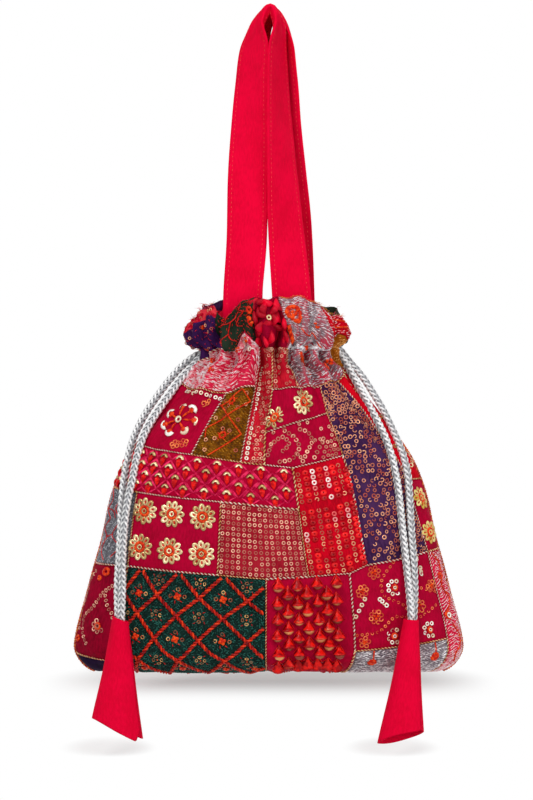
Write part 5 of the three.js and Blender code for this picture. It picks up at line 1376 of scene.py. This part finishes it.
# At the front of the neck the crimson silk is ruched into a knot of loops, under one gold sequin.
patch = front["crimson_ruffle"][1]
loops = []
for s, t, angle, long, wide in (
    (0.28, 0.90, 0.4, 7, 4.4), (0.56, 0.93, -0.5, 8, 4.6), (0.42, 0.79, 1.3, 9, 5), (0.66, 0.74, 0.7, 8, 5), (0.33, 0.66, -0.4, 8, 4.6),
    (0.60, 0.58, 1.5, 9, 5), (0.44, 0.50, 0.2, 9, 5), (0.26, 0.44, 1.3, 8, 4), (0.66, 0.38, -0.9, 9, 4.2), (0.46, 0.30, 1.2, 10, 4),
    (0.3, 0.2, 1.7, 9, 3.4), (0.7, 0.18, 1.3, 9, 3.4), (0.14, 0.7, 1.4, 8, 3.6), (0.86, 0.6, 1.6, 8, 3.4), (0.04, 0.86, 1.1, 9, 4),
    (0.02, 0.58, 1.8, 10, 4), (0.05, 0.34, 1.4, 9, 3.6), (0.1, 0.1, 1.5, 9, 3.4), (0.96, 0.84, 2.0, 9, 4), (0.98, 0.46, 1.4, 10, 4),
    (0.94, 0.26, 1.8, 9, 3.6), (0.9, 0.07, 1.6, 9, 3.4)):
    ends = [patch.frame(*shifted(patch, np.array([s]), np.array([t]), way * long / 2 * np.cos(angle), way * long / 2 * np.sin(angle))) for way in (-1, 1)]
    loops.append(dashes(ends[0][0], ends[1][0], ends[0][3], 0.86 * wide, 5.6, bow=2.4, sides=14, steps=11))
sew_on("ruched_crimson_loops", loops, thread("ruched_crimson_silk", (0.40, 0.0, 0.012), (0.84, 0.0, 0.028), roughness=0.45, scale=90.0))
sew_on("ruched_gold_sequin", [lay_on(SEQUIN, patch.frame(np.array([0.46]), np.array([0.6])), 1.2, lift=2.1)], gold_film)
patch = front["bright_ruffle"][1]
blooms += [twisted(line_on(patch.frame, run, lift=0.5, curved=True), 0.45, 0.3, 3.0) for run in (
    [(0.1, 0.35), (0.4, 0.3), (0.7, 0.4)], [(0.3, 0.8), (0.5, 0.6), (0.75, 0.7)])]
sew_on("heading_orange_blooms", blooms, orange_rayon)
patch = front["mustard_cuff"][1]
sew_on("cuff_hatching", [darning(patch, 2.2, 1.05, turn=0.3, unruly=0.3, keep=0.9, thick=0.5)],
       thread("amber_silk_thread", (0.62, 0.15, 0.015), (0.98, 0.52, 0.14)))
patch = front["bright_ruffle"][1]
sew_on("bright_ruffle_darning", [darning(patch, 2.4, 1.6, turn=0.2, unruly=0.4, keep=0.7, thick=0.5)], rose_zari)

# The back panel is pieced from the same cloths, and wears the same kinds of needlework.
mesh_rings, copper_rings, pale_rings = [], [], []
patch = back["row2_dusty_3"][1]
s, t = grid_on(patch, 3.55, 3.5, margin=1.8, jitter=0.12, keep=0.97)
mesh_rings.append(lay_on(SMALL_RING, patch.frame(s, t), lean=0.14, lift=0.3))
for name, keep in (("row2_purple_1", 0.75), ("row4_purple_4", 0.6)):
    s, t = grid_on(back[name][1], 3.9, 3.6, stagger=0.5, margin=2, jitter=0.5, keep=keep)
    copper_rings.append(lay_on(SMALL_RING, back[name][1].frame(s, t), 1.1, lean=0.22, lift=0.4))
patch = back["row2_bright_2"][1]
s, t = grid_on(patch, 5.2, 3.65, margin=2.4, keep=0.95)
columns = np.round(s * patch.wide / 5.2).astype(int) % 2 == 0
pale_rings.append(lay_on(SEQUIN, patch.frame(s[columns], t[columns]), lean=0.15, lift=0.35))
sew_on("back_ruby_cups", [lay_on(ring_plate(1.75, 0.45, 0.9, 0.25), patch.frame(s[~columns], t[~columns]), lean=0.12, lift=0.25)], ruby_film)
gold, orange, red = [], [], []
for name, places in (("row1_crimson_1", [(0.25, 0.75), (0.6, 0.75), (0.4, 0.45), (0.78, 0.45)]), ("row3_crimson_2", [(0.2, 0.5), (0.5, 0.5), (0.8, 0.5)]),
                     ("row4_crimson_2", [(0.5, 0.66)])):
    for s, t in places:
        for pile, part in zip((gold, orange, red), flower(back[name][1], s, t)):
            pile += part
patch = back["row1_green_2"][1]
lattice = []
for k in range(-4, 7):
    for way in (1, -1):
        share = np.linspace(0.02, 0.98, 80)
        line = np.stack([0.12 + 0.29 * k + way * share * patch.tall / patch.wide, share], -1)
        line = line[(line[:, 0] > 0.015) & (line[:, 0] < 0.985)]
        if len(line) > 6:
            lattice.append(twisted(line_on(patch.frame, line[[0, len(line) // 2, -1]], lift=0.95), 0.72, 0.66, 5.2))
sew_on("back_green_darning", [darning(patch, 2.6, 1.5, unruly=0.9, keep=0.8, thick=0.7, steps=3)], bottle_thread)
sew_on("back_lattice_cords", lattice, lattice_cord)
for name in ("row3_wine_3", "row4_mossy_1"):
    patch = back[name][1]
    for x in (0.25, 0.5, 0.75):
        line = [(x, 0.9), (x + 0.08, 0.7), (x - 0.06, 0.5), (x + 0.06, 0.3), (x, 0.1)]
        mesh_rings.append(lay_on(SMALL_RING, along_line(patch, line, 2.8), 1.05, lean=0.2))
sew_on("back_olive_hatching", [darning(back["row2_mustard_4"][1], 2.2, 1.1, turn=-0.2, unruly=0.15, keep=0.95, thick=0.6, steps=3)], olive_thread)
sew_on("back_silver_darning", [darning(back["row3_silver_1"][1], 2.8, 1.0, turn=0.1, unruly=0.2, keep=0.93, thick=0.66, steps=3)], silver_zari)
sew_on("back_rose_darning", [darning(back[name][1], 2.5, 1.3, turn=0.3, unruly=0.4, keep=0.85, steps=3) for name in ("row1_rose_3", "row4_rose_3")], rose_zari)
sew_on("back_mesh_rings", mesh_rings, dusty_film)
sew_on("back_copper_rings", copper_rings, copper_film)
sew_on("back_pale_rings", pale_rings, pink_film)
sew_on("back_flower_petals", gold, gold_film)
sew_on("back_flower_rings", orange, orange_rayon)
sew_on("back_flower_stitches", red, red_rayon)

# Both side seams are overcast in orange and red thread from the base up to the cord's way out.
for edge, side_name in ((-1, "left"), (1, "right")):
    heights = np.linspace(0.035, 0.925, 60)
    line, out = line_on(lambda x, y: cloth_frame(FRONT, x, y), np.stack([np.full(60, float(edge)), heights], -1), step=0.7, lift=0.2)
    sew_on(f"{side_name}_side_seam_cord", [twisted((line, out), 0.8, 0.5, 3.4)], two_tone(
        f"{side_name}_overcast_thread", ((0.50, 0.03, 0.01), (0.92, 0.30, 0.06)), ((0.34, 0.0, 0.008), (0.74, 0.01, 0.03)), roughness=0.5))
    run = np.arange(1, len(line) - 3, 2)
    ahead = (line[run + 2] - line[run]) / 2
    outwards = out[run] / np.linalg.norm(out[run], axis=1)[:, None]
    over = np.cross(ahead, outwards)
    over /= np.linalg.norm(over, axis=1)[:, None]
    reach = dice.uniform(1.7, 2.6, (len(run), 1))
    sew_on(f"{side_name}_side_stitches", [dashes(line[run] - over * reach - outwards * 0.3, line[run] + ahead * 1.5 + over * reach - outwards * 0.3, outwards, 0.5, 0.45, bow=1.1, sides=4, steps=5)],
           thread(f"{side_name}_side_stitch", (0.56, 0.06, 0.01), (0.95, 0.40, 0.09)))

# The raw edges fray: fine threads of the cloth stand out of the rim of the heading, pink and red
# at the left, yellow and orange along the silver brocade, and a few at the side seams.
tufts = {"pink": [], "amber": []}
for kind, side, low, high, count, longest in (
    ("pink", FRONT, -1, -0.55, 80, 3.2), ("pink", BACK, 0.62, 1, 60, 3.0), ("pink", FRONT, -0.5, 0.1, 30, 1.8), ("amber", FRONT, 0.08, 0.68, 130, 2.0),
    ("amber", FRONT, 0.68, 1, 30, 2.4), ("pink", FRONT, 0.68, 1, 40, 2.4), ("pink", BACK, -1, 0.6, 70, 1.8),
):
    across = dice.uniform(low, high, count)
    point, over, rise, out = cloth_frame(side, across, np.full(count, 1.975))
    long = dice.uniform(0.7, longest, count)[:, None]
    swing = dice.normal(0, 1.1, (count, 2))
    tip = point + long * (0.7 * rise + over * swing[:, :1] + out * (0.2 + 0.6 * np.abs(swing[:, 1:])))
    side_way = np.cross(tip - point, over)
    side_way /= np.linalg.norm(side_way, axis=1)[:, None]
    tufts[kind].append(dashes(point, tip, side_way, 0.17, 0.17, bow=1.0, sides=4, steps=5))
sew_on("frayed_pink_threads", tufts["pink"], thread("frayed_pink_thread", (0.45, 0.004, 0.03), (0.90, 0.12, 0.14)))
sew_on("frayed_amber_threads", tufts["amber"], thread("frayed_amber_thread", (0.55, 0.12, 0.01), (0.95, 0.48, 0.08)))

# The lining: one pouch of crimson cotton inside the patchwork, a little shorter than it. It
# stands clear of the pleats and the cords, and opens out again above the neck.
LINING_THICK, LINING_TOP = 0.8, 1.92


def lining_at(turn, up, deep):
    """Turn runs from -1 to 3 round the bag, from seam to seam and back. The lining keeps off the
    cloth by what the pleats, the long folds or the cords take up there."""
    side = np.where(turn < 1, -1, 1)
    across = np.where(turn < 1, turn, turn - 2)
    height = level_of(up)[0]
    over_neck = height - BODY_TALL
    below, above = np.maximum(-over_neck, 0), np.maximum(over_neck, 0)
    folds = 10 * smooth(below / 12) * smooth(1 - below / 95)
    at_cloth = 2.7 + PLEAT_DEEP * np.exp(-below / 26) + folds + 0.6 * (1 - smooth(height / 72))
    flare = np.where(above > 0, outline(BODY_TALL + above, station_width) - 43, 0)
    at_cords = 12 + flare
    open_ = smooth((above - 8) / 7)
    near_cords = 1 - smooth((below - 5.8) / 8)
    inset = np.maximum(at_cloth, at_cloth + (at_cords - at_cloth) * near_cords)
    inset = np.where(above > 0, at_cords + (7.8 - at_cords) * open_, inset)
    ripple = 0.5 * smooth(height / 60) * (np.cos(13 * np.pi * turn / 2) + 0.6 * np.cos(23 * np.pi * turn / 2))
    both = [smooth_bag(-1, across, up, inset + deep + 0.5 + ripple), smooth_bag(1, across, up, inset + deep + 0.5 + ripple)]
    point = np.where((side < 0)[..., None], both[0], both[1])
    point[..., 2] += (deep + 3.3) * (1 - smooth(height / 42))
    hang = np.where(side < 0, rim_hang(-1, across, height - BODY_TALL), rim_hang(1, across, height - BODY_TALL))
    point[..., 2] -= hang + 1.5 * (above / HEADING_TALL) ** 2
    return point


lining_cotton = plain_cloth("crimson_lining_cotton", (0.72, 0.0, 0.03), (0.52, 0.0, 0.018), slub=0.3)
rings, columns = 130, 240
up_, turn_ = np.meshgrid(np.linspace(0.02, 1, rings) ** 0.9 * LINING_TOP, np.arange(columns) / columns * 4 - 1, indexing="ij")
outer, inner = lining_at(turn_, up_, 0.0), lining_at(turn_, up_, LINING_THICK)
size = rings * columns
half = np.arange(columns // 2)
floor_ = np.stack([half, columns - half, columns - 1 - half, half + 1], -1)
floor_[0, 1] = 0
floor_ = floor_[1:-1]
ends = np.array([[0, columns - 1, 1, 1], [columns // 2, columns // 2 - 1, columns // 2 + 1, columns // 2 + 1]])
top = (rings - 1) * columns + np.arange(columns)
beside = (rings - 1) * columns + (np.arange(columns) + 1) % columns
lining_faces = np.concatenate([
    grid_faces(rings, columns, across=True),
    grid_faces(rings, columns, across=True, start=size)[:, ::-1],
    floor_, floor_[:, ::-1] + size,
    np.stack([top, beside, beside + size, top + size], -1),
])
lining = solid(
    "lining_pouch", np.concatenate([outer.reshape(-1, 3), inner.reshape(-1, 3)]) * MM, lining_faces, lining_cotton,
    np.tile(np.stack([turn_ * 90, up_ * 235], -1).reshape(-1, 2), (2, 1)),
)
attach(lining, "root")
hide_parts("lining")

# The two handles: each is one strap of crimson cotton, folded to 25 mm and sewn along both
# edges with orange thread. It hangs from the hook, where it bunches to a narrower fold.
STRAP_WIDE, STRAP_THICK, BUNCH_WIDE, BUNCH_THICK, BUNCH_LONG = 26.5, 2.0, 17, 3.4, 24
MOUTH = 24.5
front_strap_route = [
    (-17, -MOUTH, -203, 163), (-16.8, -MOUTH, RIM_LEVEL + 2, 163), (-14.4, -19.5, -150, 170),
    (-13.6, -15.5, -110, 171), (-12.3, -12.7, -73, 155), (-11.3, -11, -48, 143), (-9.4, -9.8, -24, 134),
    (-6.4, -9.2, -7, 110), (1, -9, 1.6, 90), (6.2, -9.2, -8, 73), (5.6, -9.8, -26, 64), (6.2, -11, -56, 57),
    (8.3, -14, -100, 45), (10.6, -18, -138, 31), (14.5, -MOUTH, RIM_LEVEL + 2, 17), (15.5, -MOUTH, -203, 16),
]
back_strap_route = [
    (-17, MOUTH, -203, 163), (-16.8, MOUTH, RIM_LEVEL + 2, 163), (-15, 19, -150, 158), (-12.5, 15.5, -110, 155),
    (-10, 12.7, -73, 148), (-9.6, 11, -42, 138), (-2.5, 9.4, -9, 112), (2.4, 9, 1.6, 90), (8.4, 9.4, -9, 72),
    (9, 11, -42, 44), (9.8, 12.7, -73, 32), (12.4, 15, -104, 25), (15.3, 18, -135, 20),
    (17.3, MOUTH, RIM_LEVEL + 2, 17), (17.5, MOUTH, -203, 17),
]
strap_cotton = plain_cloth("crimson_strap_cotton", (0.90, 0.0, 0.040), (0.78, 0.0, 0.030), roughness=0.75, slub=0.12)
stitch_thread = Finish("orange_stitch_thread", roughness=0.5)
stitch_thread.set(base_color=stitch_thread.mix(stitch_thread.noise(900.0), (0.85, 0.02, 0.03), (0.92, 0.09, 0.05)))


def strap_frames(route, mirror, steps):
    """The strap's middle line, and its directions along, across and out. Across is level, turned
    by the route's own angle, and squared to the line."""
    path = curve_through(route, steps)
    middle, angle = path[:, :3], np.radians(path[:, 3])
    along = np.gradient(middle, axis=0)
    along /= np.linalg.norm(along, axis=1)[:, None]
    wide = np.stack([np.cos(angle), np.sin(angle) * mirror, 0 * angle], -1)
    wide -= along * (wide * along).sum(1)[:, None]
    wide /= np.linalg.norm(wide, axis=1)[:, None]
    return middle, along, wide, np.cross(along, wide) * mirror


def strap_point(frames, place, face, mirror):
    """A point of the strap. Place runs from -1 to 1 across it, face is 1 on the outside and -1
    inside. The edges are rounded, the rows of stitches draw it in, and it crumples softly."""
    middle, _, wide, out = (part[:, None] for part in frames)
    bunch = 1 - smooth(-middle[..., 2] / BUNCH_LONG)
    half = (STRAP_WIDE + (BUNCH_WIDE - STRAP_WIDE) * bunch) / 2
    thick = (STRAP_THICK + (BUNCH_THICK - STRAP_THICK) * bunch) / 2
    z = middle[..., 2]
    crown = (1 - np.abs(place) ** 9) ** 0.5
    row = np.exp(-(((1 - np.abs(place)) * half - 2.9) / 0.55) ** 2)
    rumple = 0.35 * np.sin(z / 9 + 3 * place + mirror) * np.sin(z / 23 + 1.7 * mirror) + 0.25 * np.sin(z / 5.3 - 4 * place)
    crease = bunch * (1.3 * np.cos(7.5 * place + 0.7) - 0.4)
    lift = face * thick * (crown - 0.3 * row) + (rumple * (1 - np.abs(place)) + crease)
    return middle + wide * (place * half)[..., None] + out * lift[..., None]


def sewn_strap(name, route, mirror):
    """Rings of 2 x 26 points round the strap, carried along its middle line, closed at both ends."""
    steps, sides = 330, 26
    frames = strap_frames(route, mirror, steps)
    place = np.sin(np.linspace(-np.pi / 2, np.pi / 2, sides))[None]
    above = strap_point(frames, place, 1, mirror)
    under = strap_point(frames, place[:, -2:0:-1], -1, mirror)
    ring = np.concatenate([above, under], axis=1)
    around = ring.shape[1]
    run = np.concatenate([[0], np.cumsum(np.linalg.norm(np.diff(frames[0], axis=0), axis=1))])
    u = np.concatenate([place[0], place[0, -2:0:-1]]) * STRAP_WIDE / 2
    laid = np.stack(np.meshgrid(run, u, indexing="ij")[::-1], -1).reshape(-1, 2)
    faces = tube_faces(steps, around)
    if mirror > 0:
        faces = faces[:, ::-1]
    strap = solid(name, ring.reshape(-1, 3) * MM, faces, strap_cotton, laid)
    return strap, frames, run


def stitch_rows(name, frames, run, mirror):
    """Running stitches 2 mm long every 3 mm, 2.9 mm in from each edge, on both faces."""
    starts, ends, outs = [], [], []
    middle, along, wide, out = frames
    last = np.searchsorted(run, run[-1] - 4)
    for edge in (-1, 1):
        for face in (1, -1):
            at = np.arange(12, run[last], 3.0) + (0.7 if face > 0 else 0)
            for points, shift in ((starts, -0.95), (ends, 0.95)):
                f = [np.stack([np.interp(at + shift, run, column) for column in part.T], -1) for part in frames]
                bunch = 1 - smooth(-f[0][:, 2] / BUNCH_LONG)
                half = (STRAP_WIDE + (BUNCH_WIDE - STRAP_WIDE) * bunch) / 2
                place = (edge * (1 - 2.9 / half))[:, None]
                points.append(strap_point(f, place, face, mirror)[:, 0])
            outs.append(f[3] * face)
    points, faces = dashes(*(np.concatenate(part) for part in (starts, ends, outs)), 0.38, 0.38, bow=0.15, sides=4, steps=4)
    return solid(name, points * MM, faces, stitch_thread)


for panel, route, mirror in (("front", front_strap_route, 1), ("back", back_strap_route, -1)):
    strap, frames, run = sewn_strap(f"{panel}_strap", route, mirror)
    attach(strap, "root")
    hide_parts(f"{panel}_handle")
    stitches = stitch_rows(f"{panel}_strap_stitches", frames, run, mirror)
    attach(stitches, "root")

# The tassels: a square of the same crimson cotton, rolled round the two ends of a cord into a
# flat cone. Its raw edge laps over itself down the front, and the foot hangs open and slanting.
TASSEL_CLOTH, TASSEL_LAP = 1.0, 75
TASSEL_DEPTHS = (6.1, 9)


def rolled_tassel(name, top, foot, widths, slants, lap_start, corner, notch, tilt):
    """A spiral of cloth: an oval that widens from top to foot, and grows by one cloth and a gap
    for each turn. Slants tip the upper and lower edges, corner lowers the outer flap's tip,
    notch lifts its very end, and tilt opens the foot to the front."""
    rows, columns = 70, 120
    down, degrees = np.meshgrid(np.linspace(1, 0, rows), np.linspace(0, 360 + TASSEL_LAP, columns), indexing="ij")
    angle = np.radians(lap_start + degrees)
    flap = smooth((degrees - 300) / 130)
    under = 1 - smooth(degrees / 60)
    end = smooth((degrees - 421) / 14)

    def face(deep):
        soft = 0.35 * down * np.sin(3 * angle + 5 * down) + 0.25 * down * np.sin(7 * down + 2 * angle + 1)
        grow = (TASSEL_CLOTH + 0.4) / 360 * degrees - deep + soft
        half_width = widths[0] + (widths[1] - widths[0]) * down**1.08 + grow
        half_depth = TASSEL_DEPTHS[0] + (TASSEL_DEPTHS[1] - TASSEL_DEPTHS[0]) * down + grow
        x = top[0] + (foot[0] - top[0]) * down + half_width * np.cos(angle)
        y = top[1] + (foot[1] - top[1]) * down + half_depth * np.sin(angle)
        z = top[2] + (foot[2] - top[2]) * down - (slants[0] * (1 - down) + slants[1] * down) * np.cos(angle)
        z = z - (corner * (flap - 0.6 * under) + tilt * np.sin(angle)) * down**2 + notch * end * down**5
        return np.stack([x, y, z], -1)

    outer, inner = face(0.0), face(TASSEL_CLOTH)
    size = rows * columns
    rim = np.concatenate([
        np.arange(columns - 1), columns - 1 + columns * np.arange(rows - 1),
        size - 1 - np.arange(columns - 1), size - columns - columns * np.arange(rows - 1),
    ])
    onward = np.roll(rim, -1)
    faces = np.concatenate([
        grid_faces(rows, columns), grid_faces(rows, columns, start=size)[:, ::-1],
        np.stack([rim, rim + size, onward + size, onward], -1),
    ])
    laid = np.stack([degrees / 5, -75 * down], -1).reshape(-1, 2)
    points = np.concatenate([outer.reshape(-1, 3), inner.reshape(-1, 3)]) * MM
    return solid(name, points, faces, strap_cotton, np.tile(laid, (2, 1)))


for hand, *form in (
    ("left", (-94.7, -33.2, -392.4), (-96.2, -36.5, -462.1), (4.4, 15.4), (1.9, 6.6), 250, 3.7, 8, 0.6),
    ("right", (91.3, -34, -392.6), (84.8, -37, -467.6), (4.1, 13.9), (0.3, -3.7), 245, 0.5, 1, 3.2),
):
    tassel = rolled_tassel(f"{hand}_rolled_tassel", *form)
    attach(tassel, "root")
    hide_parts(f"{hand}_tassel")

# The floor: white paper that lies just under the tassels and rises gently behind them to the level of the bag's base.
# To the camera it glows plain white, except in a zone under and behind the bag, set by position, where its grey lit
# face and cast shadow show through. The zone's soft lower edge, the paper's grey and a soft spot behind each tassel's
# foot are painted shadow. Far from the bag it fades into the white of the studio.
FLOOR_LEVEL, PAPER_RISE = -0.4835, 0.042
paper = Finish("white_paper", roughness=0.9, specular_ior_level=0.1)
rays = paper.tree.nodes.new("ShaderNodeLightPath")
glow = paper.node("ShaderNodeEmission", None, {"Color": (1, 1, 1, 1), "Strength": 1.0})
seen = Value(paper, rays.outputs["Is Camera Ray"]).high(Value(paper, rays.outputs["Is Glossy Ray"]))
beside, behind, high = paper.parts(paper.place())
# Shade marks the painted shadow zone: near the bag and high on the paper behind it, fading out below. The foot term
# marks a soft painted shadow spot behind each tassel's foot, shown at 0.4.
near = 1 - (beside * beside * 42.0 + (behind - 0.09) * (behind - 0.09) * 25.0).between(0.30, 1.05)
painted_foot_shadow_distance = ((beside + 0.012).abs() - 0.092) ** 2 * 900.0 + (behind + 0.005) ** 2 * 3600.0
shade = (near * high.between(-0.4552, -0.4405) ** 2).high((1 - painted_foot_shadow_distance.between(0.0, 1.0)) * 0.4)
# The paper's grey of 0.74 darkens the shadow zone beyond what the lamps cast: painted shade.
paper.set(base_color=(0.74, 0.735, 0.73))
blend = paper.node(
    "ShaderNodeMixShader", None,
    {0: seen * (1 - shade * 0.92), 1: Value(paper, paper.shader.outputs[0]), 2: glow},
)
output = paper.tree.nodes["Material Output"]
paper.tree.links.new(blend.socket, output.inputs["Surface"])
along = np.concatenate([[-3, -1.5, -0.6, -0.2], np.linspace(-0.035, 0.095, 27), [0.16, 0.3, 0.7, 1.4, 2.4, 3.6]])
rise = FLOOR_LEVEL + PAPER_RISE * smooth((along + 0.035) / 0.13)
sweep = np.stack([np.broadcast_to(v, (len(along), 2)) for v in (np.array([-4.0, 4.0])[None], along[:, None], rise[:, None])], -1)
floor = solid("floor", sweep.reshape(-1, 3), grid_faces(len(along), 2)[:, ::-1], paper)

for name, place, size, power in (
    ("key_lamp", (-0.55, -1.25, 1.15), 0.55, 17.5),
    ("fill_lamp", (1.1, -1.5, 0.15), 0.9, 9.5),
    ("back_lamp", (0.3, 1.3, 0.9), 1.0, 11),
):
    lamp_data = bpy.data.lights.new(name, "AREA")
    lamp_data.size = size
    lamp_data.energy = power
    lamp = bpy.data.objects.new(name, lamp_data)
    lamp.location = place
    aim = np.array([0, 0, -0.3]) - np.array(place)
    lamp.rotation_euler = (math.acos(-aim[2] / np.linalg.norm(aim)), 0, math.atan2(aim[1], aim[0]) - math.pi / 2)
    bpy.context.scene.collection.objects.link(lamp)

world = bpy.data.worlds.new("studio")
bpy.context.scene.world = world
world.use_nodes = True
tree = world.node_tree
background = tree.nodes["Background"]
background.inputs["Color"].default_value = (1, 1, 1, 1)
rays = tree.nodes.new("ShaderNodeLightPath")
either = tree.nodes.new("ShaderNodeMath")
either.operation = "MAXIMUM"
strength = tree.nodes.new("ShaderNodeMapRange")
strength.inputs["To Min"].default_value = 0.38
tree.links.new(rays.outputs["Is Camera Ray"], either.inputs[0])
tree.links.new(rays.outputs["Is Glossy Ray"], either.inputs[1])
tree.links.new(either.outputs[0], strength.inputs["Value"])
tree.links.new(strength.outputs[0], background.inputs["Strength"])
bpy.context.scene.view_settings.view_transform = "Standard"
